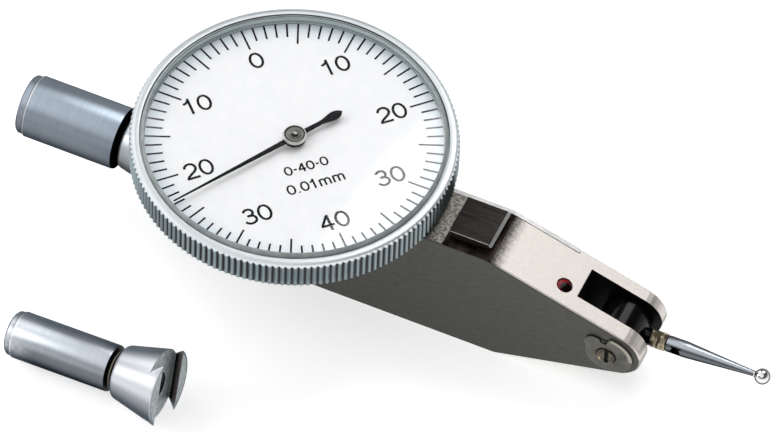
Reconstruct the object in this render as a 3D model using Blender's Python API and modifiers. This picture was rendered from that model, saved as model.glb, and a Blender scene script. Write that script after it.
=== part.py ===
"""Lever dial test indicator with a horizontal dial and a spare clamping stem.

The origin lies on the flat underside of the body, below the dial axis. +X points
to the stylus, +Z up through the dial. A stylus lever with a toothed sector drives
a pinion, the pinion's crown wheel drives the pointer's pinion.
"""

import math

import bmesh
import bpy
from mathutils import Matrix, Vector

MM = 0.001
WELD = 0.001 * MM
SEAT_GAP = 0.15 * MM
FINE_GAP = 0.10 * MM
OVERRUN = 3.0 * MM

# Facet counts
RIM_STEPS = 80
RING_STEPS = 48
SHAFT_STEPS = 32
PIN_STEPS = 16
ARC_STEPS = 14
DOME_STEPS = 6

# Radii of the dial group
DIAL_RADIUS = 18.2 * MM
DIAL_OVERHANG = 0.8 * MM
BEZEL_WALL = 2.1 * MM
BEZEL_RIM_WIDTH = 1.25 * MM
BORE_GAP = 0.55 * MM
CASE_RADIUS = DIAL_RADIUS - DIAL_OVERHANG
BEZEL_RADIUS = DIAL_RADIUS + BEZEL_WALL
BEZEL_RIM_INNER = BEZEL_RADIUS - BEZEL_RIM_WIDTH
BEZEL_BORE = CASE_RADIUS + BORE_GAP

# Dovetails
DOVETAIL_WIDTH = 5.8 * MM
DOVETAIL_LENGTH = 5.8 * MM
DOVETAIL_FLANK = math.radians(30.0)
DOVETAIL_CLEARANCE = 1.9 * MM
FRONT_DOVETAIL_X = BEZEL_RADIUS + DOVETAIL_CLEARANCE + DOVETAIL_WIDTH / 2
FRONT_DOVETAIL_HEIGHT = 1.3 * MM
REAR_DOVETAIL_DEPTH = 1.9 * MM

# Body
BODY_NEAR = 4.6 * MM
BODY_FAR = 4.05 * MM
BODY_HEIGHT = 17.7 * MM
REAR_INSET = 3.2 * MM
SHOULDER_MARGIN = 0.1 * MM
FLOOR_AHEAD = 0.9 * MM
NOSE_LENGTH = 17.2 * MM
NOSE_DROP = 0.25 * MM
NOSE_RADIUS = 3.4 * MM
SLOPE_SHARE = 0.1
EDGE_ROUND = 0.25 * MM
WALL_NEAR = 1.2 * MM
WALL_RIM = 1.5 * MM
WALL_REAR = 2.5 * MM
CAVITY_WALL = 4.7 * MM
COVER_THICK = 0.6 * MM
COVER_LAP = 2.5 * MM
FORK_DEPTH = 6.1 * MM
BODY_REAR = DIAL_RADIUS - REAR_INSET
SHOULDER_X = FRONT_DOVETAIL_X + DOVETAIL_WIDTH / 2 + SHOULDER_MARGIN
BODY_FLOOR_END = SHOULDER_X + FLOOR_AHEAD
NOSE_X = SHOULDER_X + NOSE_LENGTH
NOSE_Z = BODY_HEIGHT / 2 - NOSE_DROP
FORK_BACK = NOSE_X - FORK_DEPTH
CAVITY_END = FORK_BACK - CAVITY_WALL
COVER_END = CAVITY_END + COVER_LAP

# Fork and pivot
PIVOT_BACK = 1.0 * MM
PIVOT_DROP = 0.4 * MM
PIVOT_X = NOSE_X - PIVOT_BACK
PIVOT_Z = NOSE_Z - PIVOT_DROP
FORK_HALF = 2.25 * MM
PASSAGE_INNER = 1.2 * MM
PASSAGE_HALF = 1.9 * MM
PIN_RADIUS = 0.6 * MM
PIN_REACH = 2.9 * MM
SCREW_RADIUS = 1.0 * MM
SCREW_HEAD_RADIUS = 1.25 * MM
SCREW_HEAD_THICK = 0.5 * MM
SCREW_SLOT = 0.4 * MM
CUP_DEPTH = 0.7 * MM
PLATE_RADIUS = 2.65 * MM
PLATE_LOBE_RADIUS = 1.1 * MM
PLATE_LOBE_BACK = 1.65 * MM
PLATE_LOBE_UP = 1.3 * MM
PLATE_THICK = 0.35 * MM
PLATE_RECESS = 0.55 * MM

# Red plug in the nose top
PLUG_BACK = 2.0 * MM
PLUG_X = FORK_BACK - PLUG_BACK
PLUG_Y = 1.8 * MM
PLUG_RADIUS = 0.95 * MM
PLUG_DEPTH = 1.3 * MM
PLUG_BELOW = 0.1 * MM

# Gear train
LEVER_TEETH = 392
LEVER_TEETH_EACH_SIDE = 4
PINION_TEETH = 12
CROWN_TEETH = 54
CENTRE_PINION_TEETH = 12
ADDENDUM_SHARE = 0.9
DEDENDUM_SHARE = 1.2
TOOTH_SHARE = 0.40
CENTRE_TOOTH_SHARE = 0.34
PRESSURE_ANGLE = math.radians(20.0)
TRAIN_MODULE = 2.0 * PIVOT_X / (LEVER_TEETH + PINION_TEETH)
CROWN_RADIUS = 4.05 * MM
CROWN_MODULE = 2.0 * CROWN_RADIUS / CROWN_TEETH
CROWN_RIM_HALF = 0.4 * MM
CROWN_DISC = 0.15 * MM
LEVER_THICK = 0.7 * MM
LEVER_Y = -1.75 * MM
LEVER_HUB_RADIUS = 2.2 * MM
LEVER_ARM_HALF = 0.8 * MM
SECTOR_DEPTH = 1.2 * MM
SECTOR_NECK = 4.5 * MM
PINION_WIDTH = 0.9 * MM
ARBOR_RADIUS = 0.45 * MM
ARBOR_PIVOT_RADIUS = 0.2 * MM
CENTRE_PINION_HEIGHT = 1.1 * MM
CENTRE_RADIUS = 0.35 * MM
JEWEL_RADIUS = 0.8 * MM
JEWEL_THICK = 0.4 * MM

# Movement bridge
BRIDGE_Y = 1.9 * MM
BRIDGE_THICK = 0.8 * MM
BRIDGE_EDGE = 1.3 * MM
PILLAR_RADIUS = 1.1 * MM
PILLAR_X = 6.3 * MM
PILLAR_LOW_Z = 3.4 * MM
PILLAR_HIGH_DROP = 4.9 * MM
PILLAR_FRONT_DROP = 4.3 * MM
PILLAR_HIGH_Z = BODY_HEIGHT - PILLAR_HIGH_DROP
PILLAR_FRONT_Z = BODY_HEIGHT - PILLAR_FRONT_DROP
LUG_HALF = 1.1 * MM
LUG_THICK = 0.9 * MM
LUG_FRONT = 0.5 * MM
BRIDGE_SCREW_RADIUS = 0.4 * MM
BRIDGE_SCREW_HEAD = 0.85 * MM
BRIDGE_SCREW_HEAD_THICK = 0.35 * MM
BRIDGE_SCREW_LENGTH = 2.4 * MM

# Hairspring
HAIRSPRING_DROP = 2.5 * MM
HAIRSPRING_Z = BODY_HEIGHT - HAIRSPRING_DROP
HAIRSPRING_WIRE = 0.08 * MM
HAIRSPRING_IN = 0.9 * MM
HAIRSPRING_OUT = 2.7 * MM
HAIRSPRING_TURNS = 3
HAIRSPRING_POINTS = 14
STUD_RADIUS = 0.35 * MM

# Heights in the dial group
DIAL_RISE = 3.2 * MM
DIAL_THICK = 0.4 * MM
DIAL_HOLE = 0.9 * MM
DIAL_Z = BODY_HEIGHT + DIAL_RISE
CASE_WALL = 1.2 * MM
CASE_FLOOR = 0.6 * MM
CASE_GROOVE = 0.35 * MM
CASE_TOP = DIAL_Z - DIAL_THICK - 2 * SEAT_GAP
RETAINER_WIRE = 0.24 * MM
RETAINER_BELOW = 0.9 * MM
RETAINER_Z = CASE_TOP - RETAINER_BELOW
BEZEL_RISE = 1.2 * MM
BEZEL_LIFT = 0.4 * MM
BEZEL_TOP = DIAL_Z + BEZEL_RISE
BEZEL_BOTTOM = BODY_HEIGHT + BEZEL_LIFT
BEZEL_LEDGE = DIAL_Z - DIAL_THICK - SEAT_GAP
BEZEL_CHAMFER = 0.6 * MM
CHAMFER_SHARE = 0.6
CRYSTAL_STEP = 0.35 * MM
CRYSTAL_SEAT = DIAL_Z + CRYSTAL_STEP
CRYSTAL_EDGE = 1.1 * MM
CRYSTAL_RISE = 0.8 * MM
CRYSTAL_THICK = 0.5 * MM
KNURL_TEETH = 2 * RIM_STEPS
KNURL_DEPTH = 0.25 * MM

# Pointer
POINTER_ANGLE = math.radians(239.1)
POINTER_SHORT = 0.3 * MM
POINTER_TIP = DIAL_RADIUS - POINTER_SHORT
POINTER_TAIL = 7.1 * MM
POINTER_HALF = 0.62 * MM
POINTER_TIP_HALF = 0.12 * MM
POINTER_NECK_HALF = 0.33 * MM
POINTER_LEAF_HALF = 0.68 * MM
POINTER_THICK = 0.2 * MM
POINTER_RISE = 0.7 * MM
POINTER_Z = DIAL_Z + POINTER_RISE
POINTER_BOSS = 1.2 * MM
HUB_RADIUS = 1.4 * MM
HUB_HEIGHT = 0.35 * MM

# Clamping stem
STEM_LIFT = 0.05 * MM
STEM_Z = BODY_HEIGHT / 2 + STEM_LIFT
STEM_RADIUS = 4.0 * MM
STEM_LENGTH = 13.2 * MM
STEM_CHAMFER = 0.5 * MM
STEM_NECK_RADIUS = 2.3 * MM
STEM_NECK = 1.0 * MM
STEM_SCREW_RADIUS = 1.4 * MM
HEAD_SMALL = 3.4 * MM
HEAD_LARGE = 5.0 * MM
HEAD_LENGTH = 6.5 * MM
HEAD_CHAMFER = 0.3 * MM
HEAD_TO_BODY = 0.5 * MM
HEAD_BORE = 1.6 * MM

# Spare stem
SPARE_RADIUS = 3.0 * MM
SPARE_LENGTH = 14.1 * MM
SPARE_CHAMFER = 0.4 * MM
SPARE_NECK_RADIUS = 2.1 * MM
SPARE_END_X = -24.4 * MM
SPARE_END_Y = -28.9 * MM
SPARE_YAW = math.radians(-2.9)
SPARE_BORE = 1.75 * MM
SPARE_SLOT_WIDTH = 7.1 * MM
SPARE_SLOT_DEPTH = 1.3 * MM
SPARE_SLOT_TURN = math.radians(27.0)
SPARE_SCREW_SINK = 2.6 * MM

# Stylus
STYLUS_TILT = math.radians(1.5)
STYLUS_REACH = 18.716 * MM
BALL_RADIUS = 1.0 * MM
STYLUS_TIP_RADIUS = 0.35 * MM
STYLUS_RADIUS = 1.0 * MM
STYLUS_TAPER_START = 8.5 * MM
STYLUS_TAPER_END = 17.5 * MM
WRENCH_HOLE = 7.5 * MM
WRENCH_HOLE_RADIUS = 0.45 * MM
SOCKET_START = 4.1 * MM
SOCKET_LENGTH = 2.0 * MM
SOCKET_RADIUS = 1.175 * MM
KNUCKLE_RADIUS = 2.0 * MM
KNUCKLE_BELOW = 1.15 * MM
KNUCKLE_ABOVE = 1.3 * MM
KNUCKLE_NECK_HALF = 1.15 * MM
WASHER_RADIUS = 1.7 * MM
WASHER_THICK = 0.4 * MM

# Cover screws
COVER_SCREW_RADIUS = 0.5 * MM
COVER_SCREW_HEAD = 0.95 * MM
COVER_SCREW_HEAD_THICK = 0.4 * MM
COVER_SCREW_LENGTH = 2.6 * MM
COVER_SCREW_EDGE = 3.0 * MM


def clear_scene():
    for item in list(bpy.data.objects):
        bpy.data.objects.remove(item, do_unlink=True)


def make_collection(name):
    group = bpy.data.collections.new(name)
    bpy.context.scene.collection.children.link(group)
    return group


def finish(name, colour, metallic, roughness):
    material = bpy.data.materials.new(name)
    material.use_nodes = True
    shader = material.node_tree.nodes["Principled BSDF"]
    shader.inputs["Base Color"].default_value = (*colour, 1.0)
    shader.inputs["Metallic"].default_value = metallic
    shader.inputs["Roughness"].default_value = roughness
    return material


clear_scene()
PARTS = make_collection("dial_test_indicator")
CUTTERS = make_collection("cutters")

FRAME_GREY = finish("frame_grey", (0.30, 0.29, 0.27), 0.6, 0.45)
SATIN_CHROME = finish("satin_chrome", (0.75, 0.77, 0.80), 1.0, 0.30)
STEEL = finish("bright_steel", (0.62, 0.64, 0.66), 1.0, 0.25)
STEM_STEEL = finish("stem_steel", (0.42, 0.45, 0.50), 1.0, 0.35)
DARK_STEEL = finish("dark_steel", (0.06, 0.055, 0.05), 0.8, 0.40)
BLACK_PAINT = finish("black_paint", (0.012, 0.012, 0.013), 0.0, 0.35)
BRASS = finish("brass", (0.55, 0.43, 0.20), 1.0, 0.35)
RUBY = finish("ruby", (0.45, 0.02, 0.05), 0.0, 0.15)
DIAL_WHITE = finish("dial_white", (0.87, 0.88, 0.86), 0.0, 0.50)
CLEAR = finish("clear_crystal", (0.95, 0.97, 0.98), 0.0, 0.05)
CLEAR.node_tree.nodes["Principled BSDF"].inputs["Transmission Weight"].default_value = 1.0


def add_empty(name, place, turn=(0.0, 0.0, 0.0)):
    """A named axis that the pieces of one moving body are parented to."""
    holder = bpy.data.objects.new(name, None)
    holder.location = place
    holder.rotation_euler = turn
    PARTS.objects.link(holder)
    return holder


def add_part(name, mesh, material, holder=None, place=(0.0, 0.0, 0.0), turn=(0.0, 0.0, 0.0)):
    item = bpy.data.objects.new(name, mesh)
    mesh.materials.append(material)
    item.parent = holder
    item.location = place
    item.rotation_euler = turn
    PARTS.objects.link(item)
    return item


def add_cutter(name, mesh, holder=None, place=(0.0, 0.0, 0.0), turn=(0.0, 0.0, 0.0)):
    item = bpy.data.objects.new(name, mesh)
    item.parent = holder
    item.location = place
    item.rotation_euler = turn
    item.hide_render = True
    item.display_type = 'WIRE'
    CUTTERS.objects.link(item)
    return item


def cut(item, *cutters, union=False):
    for cutter in cutters:
        step = item.modifiers.new(cutter.name, 'BOOLEAN')
        step.operation = 'UNION' if union else 'DIFFERENCE'
        step.solver = 'EXACT'
        step.object = cutter


ALONG_X = (0.0, math.pi / 2, 0.0)
ALONG_Y = (-math.pi / 2, 0.0, 0.0)
FLAT_ON_SIDE = (math.pi / 2, 0.0, 0.0)


def turned_mesh(name, profile, steps, closed=False):
    """Revolve (radius, height) points, listed down the outer side, about local Z."""
    shape = bmesh.new()
    points = [shape.verts.new((radius, 0.0, height)) for radius, height in profile]
    pairs = list(zip(points, points[1:]))
    if closed:
        pairs.append((points[-1], points[0]))
    edges = [shape.edges.new(pair) for pair in pairs]
    bmesh.ops.spin(shape, geom=points + edges, cent=(0, 0, 0), axis=(0, 0, 1),
                   angle=math.tau, steps=steps, use_merge=True)
    bmesh.ops.remove_doubles(shape, verts=shape.verts, dist=WELD)
    bmesh.ops.recalc_face_normals(shape, faces=shape.faces)
    mesh = bpy.data.meshes.new(name)
    shape.to_mesh(mesh)
    shape.free()
    mesh.shade_smooth()
    mesh.set_sharp_from_angle(angle=math.radians(30.0))
    return mesh


def rod_mesh(name, radius, bottom, top, steps=PIN_STEPS):
    """A plain round bar along local Z between two heights."""
    shape = bmesh.new()
    bmesh.ops.create_cone(shape, cap_ends=True, segments=steps, radius1=radius,
                          radius2=radius, depth=top - bottom,
                          matrix=Matrix.Translation((0, 0, (top + bottom) / 2)))
    mesh = bpy.data.meshes.new(name)
    shape.to_mesh(mesh)
    shape.free()
    mesh.shade_smooth()
    mesh.set_sharp_from_angle(angle=math.radians(30.0))
    return mesh


def ring_mesh(name, inner, outer, bottom, top, steps=PIN_STEPS):
    profile = [(inner, top), (outer, top), (outer, bottom), (inner, bottom)]
    return turned_mesh(name, profile, steps, closed=True)


def box_mesh(name, low, high):
    shape = bmesh.new()
    centre = (Vector(low) + Vector(high)) / 2
    size = Vector(high) - Vector(low)
    bmesh.ops.create_cube(shape, size=1.0, matrix=Matrix.Translation(centre)
                          @ Matrix.Diagonal((size.x, size.y, size.z, 1.0)))
    mesh = bpy.data.meshes.new(name)
    shape.to_mesh(mesh)
    shape.free()
    return mesh


def flat_mesh(name, outlines, thickness):
    """A flat outline with any holes, filled and extruded evenly about local Z = 0."""
    curve = bpy.data.curves.new(name + "_outline", 'CURVE')
    curve.dimensions = '2D'
    curve.fill_mode = 'BOTH'
    curve.extrude = thickness / 2
    for outline in outlines:
        spline = curve.splines.new('POLY')
        spline.points.add(len(outline) - 1)
        for point, (across, along) in zip(spline.points, outline):
            point.co = (across, along, 0.0, 1.0)
        spline.use_cyclic_u = True
    guide = bpy.data.objects.new(name + "_outline", curve)
    bpy.context.scene.collection.objects.link(guide)
    graph = bpy.context.evaluated_depsgraph_get()
    mesh = bpy.data.meshes.new_from_object(guide.evaluated_get(graph), depsgraph=graph)
    mesh.name = name
    bpy.data.objects.remove(guide, do_unlink=True)
    shape = bmesh.new()
    shape.from_mesh(mesh)
    bmesh.ops.remove_doubles(shape, verts=shape.verts, dist=WELD)
    bmesh.ops.recalc_face_normals(shape, faces=shape.faces)
    shape.to_mesh(mesh)
    shape.free()
    mesh.materials.clear()
    return mesh


def side_plate(name, outlines, near, far, material, holder=None, place=(0.0, 0.0, 0.0)):
    """A plate whose outline lies in XZ and whose thickness runs from near to far in Y."""
    mesh = flat_mesh(name, outlines, far - near)
    centre = (place[0], place[1] + (near + far) / 2, place[2])
    return add_part(name, mesh, material, holder, centre, FLAT_ON_SIDE)


def side_cutter(name, outlines, near, far, holder=None, place=(0.0, 0.0, 0.0)):
    mesh = flat_mesh(name, outlines, far - near)
    centre = (place[0], place[1] + (near + far) / 2, place[2])
    return add_cutter(name, mesh, holder, centre, FLAT_ON_SIDE)


def circle_points(across, along, radius, steps=PIN_STEPS):
    turns = [math.tau * step / steps for step in range(steps)]
    return [(across + radius * math.cos(turn), along + radius * math.sin(turn))
            for turn in turns]


def hull_points(points):
    """The convex outline round a set of points, anticlockwise."""
    ordered = sorted(set(points))

    def chain(run):
        kept = []
        for point in run:
            while len(kept) > 1 and cross(kept[-2], kept[-1], point) <= 0:
                kept.pop()
            kept.append(point)
        return kept[:-1]

    def cross(first, second, third):
        return ((second[0] - first[0]) * (third[1] - first[1])
                - (second[1] - first[1]) * (third[0] - first[0]))

    return chain(ordered) + chain(reversed(ordered))


def tangent_angle(corner, centre, radius, side):
    """Angle on a circle where the line from an outer corner touches it."""
    across = corner[0] - centre[0]
    along = corner[1] - centre[1]
    reach = math.hypot(across, along)
    return math.atan2(along, across) + side * math.acos(radius / reach)


def body_points(inset=0.0, start=None, end=None):
    """Side outline of the body, moved inwards by inset and cut off at end."""
    rear = -BODY_REAR if start is None else start
    top = BODY_HEIGHT - inset
    radius = NOSE_RADIUS - inset
    centre = (NOSE_X, NOSE_Z)
    shift = inset * math.tan(SLOPE_SHARE * math.pi / 2)
    shoulder = (SHOULDER_X - shift, top)
    heel = (BODY_FLOOR_END - shift, inset)
    upper = tangent_angle(shoulder, centre, radius, -1)
    lower = tangent_angle(heel, centre, radius, 1) - math.tau
    while lower > upper:
        lower -= math.tau
    while upper - lower > math.pi + 1:
        lower += math.tau
    arc = [(NOSE_X + radius * math.cos(lower + (upper - lower) * step / ARC_STEPS),
            NOSE_Z + radius * math.sin(lower + (upper - lower) * step / ARC_STEPS))
           for step in range(ARC_STEPS + 1)]
    if end is None:
        return [(rear, inset), heel, *arc, shoulder, (rear, top)]
    rise = height_on(heel, arc[0], end)
    fall = height_on(shoulder, arc[-1], end)
    return [(rear, inset), heel, (end, rise), (end, fall), shoulder, (rear, top)]


def height_on(first, second, across):
    share = (across - first[0]) / (second[0] - first[0])
    return first[1] + share * (second[1] - first[1])


def dovetail_points(root, tip, centre, width):
    """Outline with its wide side at tip and flanks that narrow towards root."""
    narrowing = abs(tip - root) * math.tan(DOVETAIL_FLANK)
    half = width / 2
    return [(root, centre - half + narrowing), (tip, centre - half),
            (tip, centre + half), (root, centre + half - narrowing)]


def tooth_half_angle(radius, pitch_radius, thickness):
    """Half the angle that an involute tooth takes up at a radius."""
    base = pitch_radius * math.cos(PRESSURE_ANGLE)
    slope = math.acos(min(base / max(radius, base), 1.0))
    share = math.tan(PRESSURE_ANGLE) - PRESSURE_ANGLE - math.tan(slope) + slope
    return thickness / (2 * pitch_radius) + share


def tooth_points(centre_angle, pitch_radius, module, tooth_share):
    """One tooth, from its root on one side over the tip to the other root."""
    thickness = tooth_share * math.pi * module
    root = pitch_radius - DEDENDUM_SHARE * module
    tip = pitch_radius + ADDENDUM_SHARE * module
    radii = (root, pitch_radius, tip)
    rising = [(radius, -tooth_half_angle(radius, pitch_radius, thickness)) for radius in radii]
    falling = [(radius, -turn) for radius, turn in reversed(rising)]
    return [(radius * math.cos(centre_angle + turn), radius * math.sin(centre_angle + turn))
            for radius, turn in rising + falling]


def pinion_points(teeth, module, tooth_share, first_angle):
    outline = []
    for tooth in range(teeth):
        angle = first_angle + math.tau * tooth / teeth
        outline += tooth_points(angle, teeth * module / 2, module, tooth_share)
    return outline


# Shared heights and places
TOP_GAP_Z = BODY_HEIGHT + SEAT_GAP
CAVITY_NEAR = -BODY_NEAR + WALL_NEAR
COVER_INNER = BODY_FAR - COVER_THICK
PINION_CENTRE_RADIUS = CENTRE_PINION_TEETH * CROWN_MODULE / 2
CROWN_PITCH_Y = -PINION_CENTRE_RADIUS
CROWN_TIP_Y = CROWN_PITCH_Y + (ADDENDUM_SHARE - 0.1) * CROWN_MODULE
CROWN_ROOT_Y = CROWN_PITCH_Y - (DEDENDUM_SHARE - 0.1) * CROWN_MODULE
MESH_Z = PIVOT_Z + CROWN_RADIUS
LUG_TOP = MESH_Z - CENTRE_PINION_HEIGHT / 2 - JEWEL_THICK - 3 * FINE_GAP
PLATE_NEAR = -BODY_NEAR + PLATE_RECESS - FINE_GAP - PLATE_THICK

# Body frame
frame = side_plate("body_frame", [body_points()], -BODY_NEAR, BODY_FAR, FRAME_GREY)
rounding = frame.modifiers.new("edge_round", 'BEVEL')
rounding.width = EDGE_ROUND
rounding.segments = 1
rounding.limit_method = 'ANGLE'
rounding.angle_limit = math.radians(60.0)

cavity_outline = body_points(WALL_RIM, -BODY_REAR + WALL_REAR, CAVITY_END)
cavity = side_cutter("cavity_cut", [cavity_outline], CAVITY_NEAR, BODY_FAR + OVERRUN)
cover_seat = add_cutter("cover_seat_cut", box_mesh(
    "cover_seat_cut", (-BODY_REAR - OVERRUN, COVER_INNER - FINE_GAP, -OVERRUN),
    (COVER_END, BODY_FAR + OVERRUN, BODY_HEIGHT + OVERRUN)))
fork = add_cutter("fork_cut", box_mesh(
    "fork_cut", (FORK_BACK, -FORK_HALF, -OVERRUN),
    (NOSE_X + NOSE_RADIUS + OVERRUN, FORK_HALF, BODY_HEIGHT)))
passage = add_cutter("passage_cut", box_mesh(
    "passage_cut", (CAVITY_END - SEAT_GAP, -FORK_HALF, PIVOT_Z - PASSAGE_HALF),
    (FORK_BACK + SEAT_GAP, -PASSAGE_INNER, PIVOT_Z + PASSAGE_HALF)))
plate_outline = hull_points(
    circle_points(0.0, 0.0, PLATE_RADIUS, RING_STEPS // 2)
    + circle_points(-PLATE_LOBE_BACK, PLATE_LOBE_UP, PLATE_LOBE_RADIUS))
recess_outline = hull_points(
    circle_points(0.0, 0.0, PLATE_RADIUS + FINE_GAP, RING_STEPS // 2)
    + circle_points(-PLATE_LOBE_BACK, PLATE_LOBE_UP, PLATE_LOBE_RADIUS + FINE_GAP))
plate_recess = side_cutter("plate_recess_cut", [recess_outline], -BODY_NEAR - OVERRUN,
                           -BODY_NEAR + PLATE_RECESS, place=(PIVOT_X, 0.0, PIVOT_Z))
screw_bore = add_cutter("pivot_bore_cut", rod_mesh(
    "pivot_bore_cut", SCREW_RADIUS + FINE_GAP, -BODY_NEAR - OVERRUN, BODY_FAR + OVERRUN),
    place=(PIVOT_X, 0.0, PIVOT_Z), turn=ALONG_Y)
arbor_bore = add_cutter("centre_bore_cut", rod_mesh(
    "centre_bore_cut", CENTRE_RADIUS + SEAT_GAP, BODY_HEIGHT - WALL_RIM - OVERRUN / 2,
    BODY_HEIGHT + OVERRUN))
nose_fall = math.atan2(BODY_HEIGHT - body_points()[-3][1], body_points()[-3][0] - SHOULDER_X)
plug_z = BODY_HEIGHT - (PLUG_X - SHOULDER_X) * math.tan(nose_fall)
plug_bore = add_cutter("plug_bore_cut", rod_mesh(
    "plug_bore_cut", PLUG_RADIUS + FINE_GAP, -PLUG_DEPTH, OVERRUN),
    place=(PLUG_X, -PLUG_Y, plug_z), turn=(0.0, nose_fall, 0.0))
cut(frame, cavity, cover_seat, fork, passage, plate_recess, screw_bore, arbor_bore, plug_bore)

# Pillars for the bridge grow from the near wall
PILLAR_PLACES = ((-PILLAR_X, PILLAR_LOW_Z), (-PILLAR_X, PILLAR_HIGH_Z), (PILLAR_X, PILLAR_FRONT_Z))
for number, (across, height) in enumerate(PILLAR_PLACES, 1):
    pillar = add_cutter(f"pillar_{number}", rod_mesh(
        f"pillar_{number}", PILLAR_RADIUS, CAVITY_NEAR - WALL_NEAR / 2, BRIDGE_Y - SEAT_GAP),
        place=(across, 0.0, height), turn=ALONG_Y)
    cut(frame, pillar, union=True)
    tapped = add_cutter(f"pillar_hole_{number}", rod_mesh(
        f"pillar_hole_{number}", BRIDGE_SCREW_RADIUS + FINE_GAP,
        BRIDGE_Y - BRIDGE_SCREW_LENGTH, BRIDGE_Y + OVERRUN, PIN_STEPS // 2),
        place=(across, 0.0, height), turn=ALONG_Y)
    cut(frame, tapped)

# Side cover and its screws
cover = side_plate("side_cover", [body_points(end=COVER_END - SEAT_GAP)],
                   COVER_INNER, BODY_FAR, SATIN_CHROME)
SCREW_PLACES = ((-BODY_REAR + WALL_REAR / 2, COVER_SCREW_EDGE),
                (-BODY_REAR + WALL_REAR / 2, BODY_HEIGHT - COVER_SCREW_EDGE),
                ((CAVITY_END + COVER_END) / 2, PIVOT_Z))
for number, (across, height) in enumerate(SCREW_PLACES, 1):
    sink = BODY_FAR - COVER_SCREW_HEAD_THICK
    screw = turned_mesh(f"cover_screw_{number}", [
        (0.0, BODY_FAR), (COVER_SCREW_HEAD, BODY_FAR), (COVER_SCREW_RADIUS, sink),
        (COVER_SCREW_RADIUS, BODY_FAR - COVER_SCREW_LENGTH),
        (0.0, BODY_FAR - COVER_SCREW_LENGTH)], PIN_STEPS)
    piece = add_part(f"cover_screw_{number}", screw, DARK_STEEL,
                     place=(across, 0.0, height), turn=ALONG_Y)
    slot = add_cutter(f"cover_screw_slot_{number}", box_mesh(
        f"cover_screw_slot_{number}", (-COVER_SCREW_HEAD, -SCREW_SLOT / 3,
                                       BODY_FAR - COVER_SCREW_HEAD_THICK / 2),
        (COVER_SCREW_HEAD, SCREW_SLOT / 3, BODY_FAR + OVERRUN)),
        place=(across, 0.0, height), turn=ALONG_Y)
    cut(piece, slot)
    countersink = turned_mesh(f"cover_sink_{number}", [
        (0.0, BODY_FAR + COVER_THICK),
        (COVER_SCREW_HEAD + FINE_GAP + COVER_THICK, BODY_FAR + COVER_THICK),
        (COVER_SCREW_RADIUS + FINE_GAP, sink - FINE_GAP),
        (COVER_SCREW_RADIUS + FINE_GAP, BODY_FAR - COVER_SCREW_LENGTH - FINE_GAP),
        (0.0, BODY_FAR - COVER_SCREW_LENGTH - FINE_GAP)], PIN_STEPS)
    hole = add_cutter(f"cover_sink_{number}", countersink, place=(across, 0.0, height),
                      turn=ALONG_Y)
    cut(cover, hole)
    cut(frame, hole)

# Pivot plate and pivot screws
plate = side_plate("pivot_plate", [plate_outline], PLATE_NEAR, PLATE_NEAR + PLATE_THICK,
                   DARK_STEEL, place=(PIVOT_X, 0.0, PIVOT_Z))
cut(plate, screw_bore)
near_face = -BODY_NEAR - FINE_GAP
inner_end = FORK_HALF + SEAT_GAP
screw = turned_mesh("pivot_screw_near", [
    (0.0, -inner_end - CUP_DEPTH), (PIN_RADIUS + FINE_GAP, -inner_end - CUP_DEPTH),
    (PIN_RADIUS + FINE_GAP, -inner_end), (SCREW_RADIUS, -inner_end),
    (SCREW_RADIUS, near_face), (SCREW_HEAD_RADIUS, near_face),
    (SCREW_HEAD_RADIUS, near_face - SCREW_HEAD_THICK),
    (0.0, near_face - SCREW_HEAD_THICK)], PIN_STEPS)
piece = add_part("pivot_screw_near", screw, STEEL, place=(PIVOT_X, 0.0, PIVOT_Z), turn=ALONG_Y)
slot = add_cutter("pivot_screw_slot", box_mesh(
    "pivot_screw_slot", (-SCREW_SLOT / 2, -SCREW_HEAD_RADIUS - OVERRUN,
                         near_face - SCREW_HEAD_THICK - OVERRUN),
    (SCREW_SLOT / 2, SCREW_HEAD_RADIUS + OVERRUN, near_face - SCREW_HEAD_THICK / 2)),
    place=(PIVOT_X, 0.0, PIVOT_Z), turn=ALONG_Y)
cut(piece, slot)
far_end = BODY_FAR - FINE_GAP
screw = turned_mesh("pivot_screw_far", [
    (0.0, far_end), (SCREW_RADIUS, far_end), (SCREW_RADIUS, inner_end),
    (PIN_RADIUS + FINE_GAP, inner_end), (PIN_RADIUS + FINE_GAP, inner_end + CUP_DEPTH),
    (0.0, inner_end + CUP_DEPTH)], PIN_STEPS)
piece = add_part("pivot_screw_far", screw, STEEL, place=(PIVOT_X, 0.0, PIVOT_Z), turn=ALONG_Y)
slot = add_cutter("far_screw_slot", box_mesh(
    "far_screw_slot", (-SCREW_SLOT / 2, -SCREW_RADIUS - OVERRUN, far_end - SCREW_SLOT),
    (SCREW_SLOT / 2, SCREW_RADIUS + OVERRUN, far_end + OVERRUN)),
    place=(PIVOT_X, 0.0, PIVOT_Z), turn=ALONG_Y)
cut(piece, slot)

# Red plug in the nose top
add_part("ruby_plug", rod_mesh("ruby_plug", PLUG_RADIUS, -PLUG_DEPTH + FINE_GAP, -PLUG_BELOW),
         RUBY, place=(PLUG_X, -PLUG_Y, plug_z), turn=(0.0, nose_fall, 0.0))

# Dovetail blocks, set in from both sides of the body
dovetail_y = (BODY_FAR - BODY_NEAR) / 2
front_outline = [(across, height) for height, across in dovetail_points(
    TOP_GAP_Z, BODY_HEIGHT + FRONT_DOVETAIL_HEIGHT, FRONT_DOVETAIL_X, DOVETAIL_WIDTH)]
side_plate("front_dovetail", [front_outline], dovetail_y - DOVETAIL_LENGTH / 2,
           dovetail_y + DOVETAIL_LENGTH / 2, DARK_STEEL)
rear_tip = -BODY_REAR - REAR_DOVETAIL_DEPTH
rear_outline = dovetail_points(-BODY_REAR - SEAT_GAP, rear_tip, STEM_Z, DOVETAIL_WIDTH)
side_plate("rear_dovetail", [rear_outline], dovetail_y - DOVETAIL_LENGTH / 2,
           dovetail_y + DOVETAIL_LENGTH / 2, DARK_STEEL)

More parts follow.
